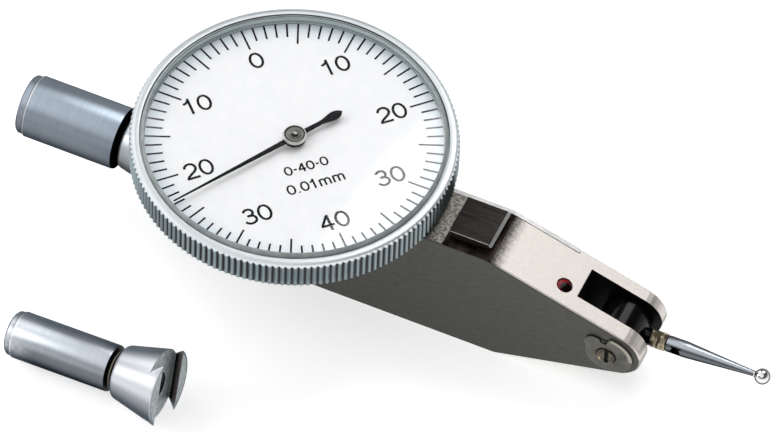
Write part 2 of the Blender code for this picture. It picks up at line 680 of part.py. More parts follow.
# Dial case on top of the body, with a groove for the retaining ring
case_inner = CASE_RADIUS - CASE_WALL
case_floor = TOP_GAP_Z + CASE_FLOOR
groove_half = RETAINER_WIRE + FINE_GAP
case = turned_mesh("dial_case", [
    (case_inner, CASE_TOP), (CASE_RADIUS, CASE_TOP), (CASE_RADIUS, RETAINER_Z + groove_half),
    (CASE_RADIUS - CASE_GROOVE, RETAINER_Z + groove_half),
    (CASE_RADIUS - CASE_GROOVE, RETAINER_Z - groove_half),
    (CASE_RADIUS, RETAINER_Z - groove_half), (CASE_RADIUS, TOP_GAP_Z),
    (CENTRE_RADIUS + SEAT_GAP, TOP_GAP_Z), (CENTRE_RADIUS + SEAT_GAP, case_floor),
    (case_inner, case_floor)], RING_STEPS, closed=True)
add_part("dial_case", case, DARK_STEEL)
retainer_radius = CASE_RADIUS - CASE_GROOVE + RETAINER_WIRE + FINE_GAP
retainer = turned_mesh("bezel_retainer", [
    (retainer_radius + across, RETAINER_Z + along)
    for across, along in reversed(circle_points(0.0, 0.0, RETAINER_WIRE, 6))],
    RING_STEPS, closed=True)
add_part("bezel_retainer", retainer, STEEL)

def knurl_rim(mesh, radius, inset):
    """Divide the outer rings of a rim and sink every second column into a groove."""
    shape = bmesh.new()
    shape.from_mesh(mesh)
    rings = [edge for edge in shape.edges
             if abs(edge.verts[0].co.z - edge.verts[1].co.z) < WELD
             and min(point.co.xy.length for point in edge.verts) > radius - inset - WELD]
    columns = 2 * KNURL_TEETH
    bmesh.ops.subdivide_edges(shape, edges=rings, cuts=columns // RIM_STEPS - 1,
                              use_grid_fill=True)
    half = math.pi / RIM_STEPS
    for point in shape.verts:
        reach = point.co.xy.length
        if reach < radius - 2 * inset:
            continue
        turn = math.atan2(point.co.y, point.co.x)
        column = round(turn / math.tau * columns)
        offset = turn % (2 * half) - half
        share = math.cos(offset) / math.cos(half) if column % (columns // RIM_STEPS) else 1.0
        if column % 2 and reach * share > radius - KNURL_DEPTH / 2:
            share *= (radius - KNURL_DEPTH) / radius
        point.co.xy *= share
    bmesh.ops.recalc_face_normals(shape, faces=shape.faces)
    shape.to_mesh(mesh)
    shape.free()
    mesh.shade_smooth()
    mesh.set_sharp_from_angle(angle=math.radians(30.0))


# Bezel, dial and crystal turn together on the dial axis
bezel_axis = add_empty("bezel_axis", (0.0, 0.0, 0.0))
seat_radius = DIAL_RADIUS + SEAT_GAP
bezel = turned_mesh("bezel", [
    (BEZEL_RIM_INNER, BEZEL_TOP), (BEZEL_RADIUS - BEZEL_CHAMFER * CHAMFER_SHARE, BEZEL_TOP),
    (BEZEL_RADIUS, BEZEL_TOP - BEZEL_CHAMFER), (BEZEL_RADIUS, BEZEL_BOTTOM + KNURL_DEPTH),
    (BEZEL_RADIUS - KNURL_DEPTH, BEZEL_BOTTOM), (BEZEL_BORE, BEZEL_BOTTOM),
    (BEZEL_BORE, BEZEL_LEDGE), (seat_radius, BEZEL_LEDGE), (seat_radius, DIAL_Z + FINE_GAP),
    (seat_radius + SEAT_GAP, CRYSTAL_SEAT), (BEZEL_RIM_INNER, CRYSTAL_SEAT)],
    RIM_STEPS, closed=True)
knurl_rim(bezel, BEZEL_RADIUS, BEZEL_CHAMFER * CHAMFER_SHARE)
add_part("bezel", bezel, SATIN_CHROME, bezel_axis)
dial = ring_mesh("dial_plate", DIAL_HOLE, DIAL_RADIUS, DIAL_Z - DIAL_THICK, DIAL_Z, RING_STEPS)
add_part("dial_plate", dial, DIAL_WHITE, bezel_axis)
crystal_radius = BEZEL_RIM_INNER - FINE_GAP
crystal_low = CRYSTAL_SEAT + FINE_GAP
crystal_wall = crystal_radius - CRYSTAL_THICK
outer_dome = []
inner_dome = []
for step in range(DOME_STEPS + 1):
    share = step / DOME_STEPS
    lift = crystal_low + CRYSTAL_EDGE + CRYSTAL_RISE * (1 - share * share)
    outer_dome.append((crystal_wall * share, lift))
    inner_dome.append((crystal_wall * share, lift - CRYSTAL_THICK))
crystal = turned_mesh("crystal", outer_dome
                      + [(crystal_radius, crystal_low + CRYSTAL_EDGE - CRYSTAL_THICK / 2),
                         (crystal_radius, crystal_low), (crystal_wall, crystal_low)]
                      + inner_dome[::-1], RING_STEPS)
add_part("crystal", crystal, CLEAR, bezel_axis)

# Pointer with its hub and the centre arbor
pointer_axis = add_empty("pointer_axis", (0.0, 0.0, 0.0), (0.0, 0.0, POINTER_ANGLE))
needle = [(POINTER_TIP, POINTER_TIP_HALF), (POINTER_BOSS, POINTER_HALF)]
leaf_shares = ((0.62, 0.0), (0.78, 0.62), (0.90, 1.0), (0.97, 0.72))
boss = [(POINTER_BOSS * math.cos(turn), POINTER_BOSS * math.sin(turn))
        for turn in (math.radians(angle) for angle in (50, 75, 100, 125))]
upper = needle + boss + [(-POINTER_BOSS, POINTER_NECK_HALF)]
for along, wide in leaf_shares:
    half = POINTER_NECK_HALF + (POINTER_LEAF_HALF - POINTER_NECK_HALF) * wide
    upper.append((-POINTER_TAIL * along, half))
outline = upper + [(-POINTER_TAIL, 0.0)] + [(across, -along) for across, along in upper[::-1]]
arbor_hole = circle_points(0.0, 0.0, CENTRE_RADIUS + FINE_GAP, PIN_STEPS)
add_part("pointer", flat_mesh("pointer", [outline, arbor_hole], POINTER_THICK), BLACK_PAINT,
         pointer_axis, (0.0, 0.0, POINTER_Z + POINTER_THICK / 2))
hub_low = POINTER_Z + POINTER_THICK + FINE_GAP
hub = turned_mesh("pointer_hub", [
    (CENTRE_RADIUS + FINE_GAP, hub_low + HUB_HEIGHT),
    (HUB_RADIUS - FINE_GAP, hub_low + HUB_HEIGHT), (HUB_RADIUS, hub_low + HUB_HEIGHT / 2),
    (HUB_RADIUS, hub_low), (CENTRE_RADIUS + FINE_GAP, hub_low)], PIN_STEPS, closed=True)
add_part("pointer_hub", hub, STEEL, pointer_axis)
pinion_low = MESH_Z - CENTRE_PINION_HEIGHT / 2
shaft = turned_mesh("centre_arbor", [
    (0.0, hub_low + HUB_HEIGHT + FINE_GAP), (CENTRE_RADIUS, hub_low + HUB_HEIGHT),
    (CENTRE_RADIUS, pinion_low - FINE_GAP), (ARBOR_PIVOT_RADIUS, pinion_low - FINE_GAP),
    (ARBOR_PIVOT_RADIUS, LUG_TOP + FINE_GAP), (0.0, LUG_TOP + FINE_GAP)], PIN_STEPS)
mesh_phase = -math.pi / 2 + math.pi / CENTRE_PINION_TEETH - POINTER_ANGLE
centre_arbor = add_part("centre_arbor", shaft, STEEL, pointer_axis)
centre_pinion = add_cutter("centre_pinion", flat_mesh("centre_pinion", [pinion_points(
    CENTRE_PINION_TEETH, CROWN_MODULE, CENTRE_TOOTH_SHARE, mesh_phase)],
    CENTRE_PINION_HEIGHT), pointer_axis, (0.0, 0.0, MESH_Z))
cut(centre_arbor, centre_pinion, union=True)

# Pinion arbor and crown wheel
arbor_axis = add_empty("arbor_axis", (0.0, 0.0, PIVOT_Z))
arbor_near = CAVITY_NEAR + 2 * FINE_GAP
jewel_far = BRIDGE_Y - FINE_GAP
shaft = turned_mesh("pinion_arbor", [
    (0.0, jewel_far - FINE_GAP), (ARBOR_PIVOT_RADIUS, jewel_far - FINE_GAP),
    (ARBOR_PIVOT_RADIUS, jewel_far - JEWEL_THICK - FINE_GAP),
    (ARBOR_RADIUS, jewel_far - JEWEL_THICK - FINE_GAP),
    (ARBOR_RADIUS, arbor_near + JEWEL_THICK + FINE_GAP),
    (ARBOR_PIVOT_RADIUS, arbor_near + JEWEL_THICK + FINE_GAP),
    (ARBOR_PIVOT_RADIUS, arbor_near), (0.0, arbor_near)], PIN_STEPS)
pinion_arbor = add_part("pinion_arbor", shaft, STEEL, arbor_axis, turn=ALONG_Y)
pinion_outline = pinion_points(PINION_TEETH, TRAIN_MODULE, TOOTH_SHARE, math.pi / PINION_TEETH)
arbor_pinion = side_cutter("arbor_pinion", [pinion_outline], LEVER_Y - PINION_WIDTH / 2,
                           LEVER_Y + PINION_WIDTH / 2, arbor_axis)
cut(pinion_arbor, arbor_pinion, union=True)


def crown_mesh(name):
    """A disc whose rim carries teeth that stand up along the axis."""
    inner = CROWN_RADIUS - CROWN_RIM_HALF
    outer = CROWN_RADIUS + CROWN_RIM_HALF
    back = CROWN_ROOT_Y - CROWN_DISC
    bore = ARBOR_RADIUS + FINE_GAP
    profile = [(bore, CROWN_ROOT_Y), (inner, CROWN_ROOT_Y), (outer, CROWN_ROOT_Y),
               (outer, back), (bore, back)]
    steps = 4 * CROWN_TEETH
    mesh = turned_mesh(name, profile, steps, closed=True)
    tip_rise = CROWN_TIP_Y - CROWN_ROOT_Y
    for point in mesh.vertices:
        radius = math.hypot(point.co.x, point.co.y)
        on_face = abs(point.co.z - CROWN_ROOT_Y) < WELD
        if on_face and radius > inner - WELD:
            turn = math.atan2(point.co.y, point.co.x) / math.tau * steps
            if round(turn) % 4 in (1, 2):
                point.co.z += tip_rise
    mesh.transform(Matrix.Rotation(math.pi / steps, 4, 'Z'))
    return mesh


add_part("crown_wheel", crown_mesh("crown_wheel"), BRASS, arbor_axis, turn=ALONG_Y)

# Jewel bearings
bore = ARBOR_PIVOT_RADIUS + FINE_GAP
near_low = CAVITY_NEAR + FINE_GAP
add_part("jewel_near", ring_mesh("jewel_near", bore, JEWEL_RADIUS, near_low,
                                 near_low + JEWEL_THICK), RUBY,
         place=(0.0, 0.0, PIVOT_Z), turn=ALONG_Y)
add_part("jewel_far", ring_mesh("jewel_far", bore, JEWEL_RADIUS, jewel_far - JEWEL_THICK,
                                jewel_far), RUBY, place=(0.0, 0.0, PIVOT_Z), turn=ALONG_Y)
add_part("jewel_centre", ring_mesh("jewel_centre", bore, JEWEL_RADIUS, LUG_TOP + FINE_GAP,
                                   LUG_TOP + FINE_GAP + JEWEL_THICK), RUBY)

# Movement bridge on its pillars, with a lug under the centre arbor
corners = []
for across, height in PILLAR_PLACES:
    corners += circle_points(across, height, BRIDGE_EDGE)
bridge = side_plate("movement_bridge", [hull_points(corners)], BRIDGE_Y,
                    BRIDGE_Y + BRIDGE_THICK, BRASS)
lug = add_cutter("bridge_lug", box_mesh(
    "bridge_lug", (-LUG_HALF, -LUG_FRONT, LUG_TOP - LUG_THICK),
    (LUG_HALF, BRIDGE_Y + BRIDGE_THICK / 2, LUG_TOP)))
cut(bridge, lug, union=True)
for number, (across, height) in enumerate(PILLAR_PLACES, 1):
    outer = BRIDGE_Y + BRIDGE_THICK + FINE_GAP
    tip = BRIDGE_Y + BRIDGE_THICK - BRIDGE_SCREW_LENGTH
    screw = turned_mesh(f"bridge_screw_{number}", [
        (0.0, outer + BRIDGE_SCREW_HEAD_THICK),
        (BRIDGE_SCREW_HEAD, outer + BRIDGE_SCREW_HEAD_THICK), (BRIDGE_SCREW_HEAD, outer),
        (BRIDGE_SCREW_RADIUS, outer), (BRIDGE_SCREW_RADIUS, tip), (0.0, tip)], PIN_STEPS // 2)
    add_part(f"bridge_screw_{number}", screw, STEEL, place=(across, 0.0, height), turn=ALONG_Y)
    hole = add_cutter(f"bridge_hole_{number}", rod_mesh(
        f"bridge_hole_{number}", BRIDGE_SCREW_RADIUS + FINE_GAP, BRIDGE_Y - OVERRUN / 10,
        BRIDGE_Y + BRIDGE_THICK + OVERRUN / 10, PIN_STEPS // 2),
        place=(across, 0.0, height), turn=ALONG_Y)
    cut(bridge, hole)

# Hairspring between the centre arbor and its stud
curve = bpy.data.curves.new("hairspring_path", 'CURVE')
curve.dimensions = '3D'
curve.bevel_depth = HAIRSPRING_WIRE
curve.bevel_resolution = 0
curve.use_fill_caps = True
spline = curve.splines.new('POLY')
count = HAIRSPRING_TURNS * HAIRSPRING_POINTS
spline.points.add(count)
for step, point in enumerate(spline.points):
    share = step / count
    radius = HAIRSPRING_IN + (HAIRSPRING_OUT - HAIRSPRING_IN) * share
    turn = math.tau * HAIRSPRING_TURNS * share
    point.co = (radius * math.cos(turn), radius * math.sin(turn), HAIRSPRING_Z, 1.0)
hairspring = bpy.data.objects.new("hairspring", curve)
curve.materials.append(STEEL)
PARTS.objects.link(hairspring)
stud_x = HAIRSPRING_OUT + HAIRSPRING_WIRE + FINE_GAP + STUD_RADIUS
add_part("hairspring_stud", rod_mesh("hairspring_stud", STUD_RADIUS, HAIRSPRING_Z - STUD_RADIUS,
                                     BODY_HEIGHT - WALL_RIM - FINE_GAP), BRASS,
         place=(stud_x, 0.0, 0.0))

# Lever with its toothed sector, on the pivot pin
lever_pivot = add_empty("lever_pivot", (PIVOT_X, 0.0, PIVOT_Z))
sector_radius = LEVER_TEETH * TRAIN_MODULE / 2
root_radius = sector_radius - DEDENDUM_SHARE * TRAIN_MODULE
tooth_angle = math.tau / LEVER_TEETH
fan_angle = tooth_angle * (LEVER_TEETH_EACH_SIDE + 1 / 2)
sector = []
for tooth in range(-LEVER_TEETH_EACH_SIDE, LEVER_TEETH_EACH_SIDE + 1):
    sector += tooth_points(math.pi + tooth * tooth_angle, sector_radius, TRAIN_MODULE,
                           TOOTH_SHARE)
edge = root_radius * math.sin(fan_angle)
fan_back = -(root_radius - SECTOR_DEPTH) * math.cos(fan_angle)
hub_start = math.asin(LEVER_ARM_HALF / LEVER_HUB_RADIUS)
hub_arc = [(LEVER_HUB_RADIUS * math.cos(turn), LEVER_HUB_RADIUS * math.sin(turn))
           for turn in (-math.pi + hub_start + (math.tau - 2 * hub_start) * step / ARC_STEPS
                        for step in range(ARC_STEPS + 1))]
neck_x = fan_back + SECTOR_NECK
lever_outline = [*sector, (fan_back, -edge), (neck_x, -LEVER_ARM_HALF), *hub_arc,
                 (neck_x, LEVER_ARM_HALF), (fan_back, edge)]
pin_hole = circle_points(0.0, 0.0, PIN_RADIUS + FINE_GAP)
side_plate("lever_arm", [lever_outline, pin_hole], LEVER_Y - LEVER_THICK / 2,
           LEVER_Y + LEVER_THICK / 2, STEEL, lever_pivot)
add_part("pivot_pin", rod_mesh("pivot_pin", PIN_RADIUS, -PIN_REACH, PIN_REACH), STEEL,
         lever_pivot, turn=ALONG_Y)
washer_low = KNUCKLE_ABOVE + SEAT_GAP
add_part("clutch_washer", ring_mesh("clutch_washer", PIN_RADIUS + FINE_GAP, WASHER_RADIUS,
                                    washer_low, washer_low + WASHER_THICK), STEEL,
         lever_pivot, turn=ALONG_Y)

# Stylus: knuckle, socket and contact point, held on the same pin by the clutch
stylus_pivot = add_empty("stylus_pivot", (PIVOT_X, 0.0, PIVOT_Z), (0.0, -STYLUS_TILT, 0.0))
neck_start = math.asin(KNUCKLE_NECK_HALF / KNUCKLE_RADIUS)
knuckle_arc = [(KNUCKLE_RADIUS * math.cos(turn), KNUCKLE_RADIUS * math.sin(turn))
               for turn in (neck_start + (math.tau - 2 * neck_start) * step / RING_STEPS * 2
                            for step in range(RING_STEPS // 2 + 1))]
knuckle_end = SOCKET_START - FINE_GAP
knuckle_outline = [(knuckle_end, KNUCKLE_NECK_HALF), *knuckle_arc,
                   (knuckle_end, -KNUCKLE_NECK_HALF)]
side_plate("stylus_knuckle", [knuckle_outline, pin_hole], -KNUCKLE_BELOW, KNUCKLE_ABOVE,
           BLACK_PAINT, stylus_pivot)
socket_end = SOCKET_START + SOCKET_LENGTH
socket = turned_mesh("stylus_socket", [
    (0.0, socket_end), (SOCKET_RADIUS - FINE_GAP, socket_end),
    (SOCKET_RADIUS, socket_end - FINE_GAP), (SOCKET_RADIUS, SOCKET_START), (0.0, SOCKET_START)],
    PIN_STEPS)
add_part("stylus_socket", socket, BRASS, stylus_pivot, turn=ALONG_X)
neck_angle = math.asin(STYLUS_TIP_RADIUS / BALL_RADIUS)
ball = [(BALL_RADIUS * math.sin(turn), STYLUS_REACH + BALL_RADIUS * math.cos(turn))
        for turn in ((math.pi - neck_angle) * step / 10 for step in range(11))]
point_start = socket_end + FINE_GAP
contact = turned_mesh("contact_point", ball + [
    (STYLUS_TIP_RADIUS, STYLUS_TAPER_END), (STYLUS_RADIUS, STYLUS_TAPER_START),
    (STYLUS_RADIUS, point_start + FINE_GAP), (STYLUS_RADIUS - FINE_GAP, point_start),
    (0.0, point_start)], PIN_STEPS)
contact_point = add_part("contact_point", contact, STEEL, stylus_pivot, turn=ALONG_X)
wrench_hole = add_cutter("wrench_hole", rod_mesh(
    "wrench_hole", WRENCH_HOLE_RADIUS, -STYLUS_RADIUS - OVERRUN, STYLUS_RADIUS + OVERRUN,
    PIN_STEPS // 2), stylus_pivot, (WRENCH_HOLE, 0.0, 0.0), ALONG_Y)
cut(contact_point, wrench_hole)


def head_mesh(name, mouth, bore=HEAD_BORE):
    """A clamp head along local Z: wide end at mouth, narrow end towards the shaft."""
    return turned_mesh(name, [
        (bore, mouth), (HEAD_LARGE - HEAD_CHAMFER, mouth), (HEAD_LARGE, mouth - HEAD_CHAMFER),
        (HEAD_SMALL + HEAD_CHAMFER, mouth - HEAD_LENGTH + HEAD_CHAMFER),
        (HEAD_SMALL, mouth - HEAD_LENGTH), (bore, mouth - HEAD_LENGTH)],
        SHAFT_STEPS, closed=True)


def shaft_mesh(name, end, radius, length, chamfer, neck_radius, screw_end):
    """A stem shaft along local Z: outer end at end, then a neck and the clamping screw."""
    shoulder = end + length
    return turned_mesh(name, [
        (0.0, screw_end), (STEM_SCREW_RADIUS, screw_end),
        (STEM_SCREW_RADIUS, shoulder + STEM_NECK - SEAT_GAP),
        (neck_radius, shoulder + STEM_NECK - SEAT_GAP), (neck_radius, shoulder),
        (radius - chamfer / 2, shoulder), (radius, shoulder - chamfer / 2),
        (radius, end + chamfer), (radius - chamfer, end), (0.0, end)], SHAFT_STEPS)


# Clamping stem on the rear dovetail
mouth = -BODY_REAR - HEAD_TO_BODY
slot_width = DOVETAIL_WIDTH + 2 * SEAT_GAP / math.cos(DOVETAIL_FLANK)
slot_floor = rear_tip - SEAT_GAP
stem_axis = add_empty("stem_axis", (0.0, 0.0, STEM_Z))
clamp_head = add_part("clamp_head", head_mesh("clamp_head", mouth), SATIN_CHROME, stem_axis,
                      turn=ALONG_X)
slot = side_cutter("clamp_slot", [dovetail_points(mouth + OVERRUN, slot_floor, 0.0, slot_width)],
                   -HEAD_LARGE - OVERRUN, HEAD_LARGE + OVERRUN, stem_axis)
cut(clamp_head, slot)
head_back = mouth - HEAD_LENGTH
stem_end = head_back - STEM_NECK - STEM_LENGTH
add_part("stem_shaft", shaft_mesh("stem_shaft", stem_end, STEM_RADIUS, STEM_LENGTH, STEM_CHAMFER,
                                  STEM_NECK_RADIUS, slot_floor - SEAT_GAP), STEM_STEEL,
         stem_axis, turn=ALONG_X)

# Spare stem, lying on its shaft end and on the lower jaw of its head
spare_total = SPARE_LENGTH + STEM_NECK + HEAD_LENGTH
rim_half = (SPARE_SLOT_WIDTH / 2
            - (SPARE_SLOT_DEPTH - HEAD_CHAMFER) * math.tan(DOVETAIL_FLANK))
jaw_angle = max(math.asin(rim_half / HEAD_LARGE) - SPARE_SLOT_TURN, 0.0)
jaw_reach = HEAD_LARGE * math.cos(jaw_angle)
spare_span = spare_total - HEAD_CHAMFER - SPARE_CHAMFER
spare_tilt = math.atan2(jaw_reach - SPARE_RADIUS, spare_span)
end_height = SPARE_RADIUS * math.cos(spare_tilt) - SPARE_CHAMFER * math.sin(spare_tilt)
spare_place = add_empty("spare_place", (SPARE_END_X, SPARE_END_Y, end_height),
                        (0.0, -spare_tilt, SPARE_YAW))
spare_head = add_part("spare_clamp_head", head_mesh("spare_clamp_head", spare_total, SPARE_BORE),
                      SATIN_CHROME, spare_place, turn=ALONG_X)
spare_floor = spare_total - SPARE_SLOT_DEPTH
slot_mesh = flat_mesh("spare_slot", [dovetail_points(
    spare_total + OVERRUN, spare_floor, 0.0,
    SPARE_SLOT_WIDTH)], 2 * (HEAD_LARGE + OVERRUN))
spare_slot = add_cutter("spare_slot", slot_mesh, spare_place, turn=(-SPARE_SLOT_TURN, 0.0, 0.0))
cut(spare_head, spare_slot)
add_part("spare_stem_shaft", shaft_mesh("spare_stem_shaft", 0.0, SPARE_RADIUS, SPARE_LENGTH,
                                        SPARE_CHAMFER, SPARE_NECK_RADIUS,
                                        spare_floor - SPARE_SCREW_SINK), SATIN_CHROME,
         spare_place, turn=ALONG_X)
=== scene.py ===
import math

import bpy
from mathutils import Matrix, Vector


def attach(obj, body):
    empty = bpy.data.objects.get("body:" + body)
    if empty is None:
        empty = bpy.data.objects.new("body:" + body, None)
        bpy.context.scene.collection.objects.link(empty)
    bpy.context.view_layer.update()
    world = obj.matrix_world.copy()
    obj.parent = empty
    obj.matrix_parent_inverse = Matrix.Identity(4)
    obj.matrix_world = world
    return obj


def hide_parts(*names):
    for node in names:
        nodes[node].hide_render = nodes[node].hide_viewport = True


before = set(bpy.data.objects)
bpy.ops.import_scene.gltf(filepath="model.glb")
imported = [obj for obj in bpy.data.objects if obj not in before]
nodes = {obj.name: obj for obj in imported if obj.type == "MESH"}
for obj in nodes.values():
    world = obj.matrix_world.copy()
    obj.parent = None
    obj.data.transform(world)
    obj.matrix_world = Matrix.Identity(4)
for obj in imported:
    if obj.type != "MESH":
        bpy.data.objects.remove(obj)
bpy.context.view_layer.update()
bpy.ops.object.select_all(action='DESELECT')

# Table top, studio light and camera. The indicator lies on a plain pale table.
# A large softbox hangs over its front, and three smaller ones stand behind and left.
MM = 0.001
# The camera stands as the photo shows it: angles in radians, distance in metres.
IMAGE_WIDTH = 776
FOCAL_PIXELS = 11226.3
SENSOR_WIDTH = 36.0
CAMERA_DISTANCE = 1.3756
CAMERA_AZIMUTH = math.radians(22.27)
CAMERA_ELEVATION = 0.9096992
CAMERA_ROLL = 0.0416209
# The dial's middle, and where the photo shows it: in pixels right of and above its own middle.
DIAL_CENTRE = Vector((0.0, 0.0, 20.9 * MM))
DIAL_PIXEL = (-93.518, 74.730)

toward_camera = Vector((math.sin(CAMERA_AZIMUTH) * math.cos(CAMERA_ELEVATION),
                        -math.cos(CAMERA_AZIMUTH) * math.cos(CAMERA_ELEVATION),
                        math.sin(CAMERA_ELEVATION)))
level_right = Vector((math.cos(CAMERA_AZIMUTH), math.sin(CAMERA_AZIMUTH), 0.0))
level_up = toward_camera.cross(level_right)
camera_right = level_right * math.cos(CAMERA_ROLL) + level_up * math.sin(CAMERA_ROLL)
camera_up = level_up * math.cos(CAMERA_ROLL) - level_right * math.sin(CAMERA_ROLL)
pixel_size = CAMERA_DISTANCE / FOCAL_PIXELS
camera_place = (DIAL_CENTRE + toward_camera * CAMERA_DISTANCE
                - camera_right * DIAL_PIXEL[0] * pixel_size
                - camera_up * DIAL_PIXEL[1] * pixel_size)
camera_data = bpy.data.cameras.new("photo_camera")
camera_data.sensor_width = SENSOR_WIDTH
camera_data.lens = FOCAL_PIXELS * SENSOR_WIDTH / IMAGE_WIDTH
camera_data.clip_start = 0.05
camera_data.clip_end = 50.0
camera = bpy.data.objects.new("photo_camera", camera_data)
camera.matrix_world = Matrix.Translation(camera_place) @ Matrix((
    camera_right, camera_up, toward_camera)).transposed().to_4x4()
bpy.context.scene.collection.objects.link(camera)
bpy.context.scene.camera = camera
bpy.context.scene.view_settings.view_transform = 'Standard'

LAMP_DISTANCE = 0.80


def softbox(name, azimuth, elevation, width, height, radiance):
    """A rectangular lamp that faces the indicator, from a compass angle and height in degrees."""
    lamp = bpy.data.lights.new(name, 'AREA')
    lamp.shape = 'RECTANGLE'
    lamp.size = width
    lamp.size_y = height
    lamp.energy = radiance * math.pi * width * height
    holder = bpy.data.objects.new(name, lamp)
    flat_reach = math.cos(math.radians(elevation))
    direction = Vector((math.cos(math.radians(azimuth)) * flat_reach,
                        math.sin(math.radians(azimuth)) * flat_reach,
                        math.sin(math.radians(elevation))))
    holder.location = direction * LAMP_DISTANCE
    holder.rotation_euler = direction.to_track_quat('Z', 'Y').to_euler()
    bpy.context.scene.collection.objects.link(holder)


softbox("front_softbox", azimuth=-125.0, elevation=67.0, width=1.50, height=0.86, radiance=0.80)
softbox("rear_softbox", azimuth=80.0, elevation=56.0, width=0.37, height=0.44, radiance=3.8)
softbox("left_softbox", azimuth=150.0, elevation=40.0, width=0.44, height=0.42, radiance=1.5)
softbox("low_softbox", azimuth=-153.0, elevation=34.0, width=0.36, height=0.44, radiance=2.2)


def fill(node, inputs):
    """Give inputs of a node, by name or number, a value, a colour or another node's output."""
    for label, value in inputs.items():
        socket = node.inputs[label]
        if isinstance(value, bpy.types.NodeSocket):
            node.id_data.links.new(value, socket)
        elif socket.type == 'RGBA':
            socket.default_value = (*value, 1.0)
        else:
            socket.default_value = value


def add_node(tree, kind, inputs, **settings):
    """A new shader node with its settings made and its inputs filled."""
    node = tree.nodes.new("ShaderNode" + kind)
    for setting, choice in settings.items():
        setattr(node, setting, choice)
    fill(node, inputs)
    return node


def math_node(operation, first, second):
    """Arithmetic on two values, of which at least one is a node's output."""
    source = first if isinstance(first, bpy.types.NodeSocket) else second
    return add_node(source.id_data, "Math", {0: first, 1: second}, operation=operation).outputs[0]


def times(first, second):
    return math_node('MULTIPLY', first, second)


def minus(first, second):
    return math_node('SUBTRACT', first, second)


def blank_material(name, inputs):
    """A new material whose Principled shader has the given inputs."""
    material = bpy.data.materials.new(name)
    material.use_nodes = True
    shader = material.node_tree.nodes["Principled BSDF"]
    fill(shader, inputs)
    return material, material.node_tree, shader


def mixed_surface(tree, mask, first, second):
    """A surface that has the first shader, or the second where the mask is 1."""
    pair = add_node(tree, "MixShader", {0: mask, 1: first.outputs[0], 2: second.outputs[0]})
    fill(tree.nodes["Material Output"], {"Surface": pair.outputs[0]})


world = bpy.data.worlds.new("studio")
bpy.context.scene.world = world
world.use_nodes = True
fill(world.node_tree.nodes["Background"], {"Color": (0.95, 0.97, 1.0), "Strength": 0.10})

# The table glows a little for the eye, reflections and glass, but lights nothing itself.
TABLE_SIZE = 8.0
TABLE_GLOW = 0.60
bpy.ops.mesh.primitive_grid_add(x_subdivisions=4, y_subdivisions=4, size=TABLE_SIZE)
floor = bpy.context.active_object
floor.name = "table_top"
floor_material, tree, shader = blank_material("pale_table", {
    "Base Color": (0.93, 0.93, 0.93), "Roughness": 0.9, "Specular IOR Level": 0.0,
    "Emission Color": (1.0, 1.0, 1.0)})
ray = add_node(tree, "LightPath", {}).outputs
seen = math_node('MAXIMUM', ray["Is Camera Ray"], ray["Is Glossy Ray"])
seen = math_node('MAXIMUM', seen, ray["Is Transmission Ray"])
fill(shader, {"Emission Strength": times(seen, TABLE_GLOW)})
floor.data.materials.append(floor_material)

# The round backdrop shows on its inner side only, so a camera outside it looks through.
BACKDROP_RADIUS = 2.65
BACKDROP_HEIGHT = 0.90
bpy.ops.mesh.primitive_cylinder_add(vertices=64, radius=BACKDROP_RADIUS, depth=BACKDROP_HEIGHT,
                                    location=(0.0, 0.0, BACKDROP_HEIGHT / 2),
                                    end_fill_type='NOTHING')
backdrop = bpy.context.active_object
backdrop.name = "pale_backdrop"
backdrop_material = floor_material.copy()
backdrop_material.name = "pale_backdrop"
tree = backdrop_material.node_tree
shader = tree.nodes["Principled BSDF"]
fill(shader, {"Base Color": (0.95, 0.95, 0.95)})
outside = add_node(tree, "NewGeometry", {}).outputs["Backfacing"]
mixed_surface(tree, outside, add_node(tree, "BsdfTransparent", {}), shader)
backdrop.data.materials.append(backdrop_material)

# Body frame. One milled steel block that tapers to a forked nose. The sides are
# a dark warm grey satin with painted shade, the top is ground bright, and the inside of the fork is
# painted black as shade.


def new_group(name, inputs, outputs):
    """An empty shader node group that takes numbers and vectors and gives numbers."""
    group = bpy.data.node_groups.new(name, 'ShaderNodeTree')
    for label, value in inputs.items():
        kind = 'NodeSocketVector' if isinstance(value, tuple) else 'NodeSocketFloat'
        group.interface.new_socket(label, in_out='INPUT', socket_type=kind).default_value = value
    for label in outputs:
        group.interface.new_socket(label, in_out='OUTPUT', socket_type='NodeSocketFloat')
    return group, group.nodes.new("NodeGroupInput").outputs, group.nodes.new("NodeGroupOutput")


def object_place(tree):
    """Where a point of the surface lies on the object."""
    return add_node(tree, "TexCoord", {}).outputs["Object"]


def parts_of(place):
    """The three numbers of a vector."""
    return add_node(place.id_data, "SeparateXYZ", {0: place}).outputs


def vector_node(operation, first, second=(0.0, 0.0, 0.0)):
    """Vector arithmetic whose answer is a number or another vector."""
    node = add_node(first.id_data, "VectorMath", {0: first, 1: second}, operation=operation)
    is_number = operation in ('DOT_PRODUCT', 'DISTANCE', 'LENGTH')
    return node.outputs["Value" if is_number else "Vector"]


def rise(value, low, high, start=0.0, end=1.0, smooth=True):
    """A mask that goes from start to end as a value goes from low to high."""
    return add_node(value.id_data, "MapRange", {
        "Value": value, "From Min": low, "From Max": high, "To Min": start, "To Max": end},
        interpolation_type='SMOOTHSTEP' if smooth else 'LINEAR').outputs[0]


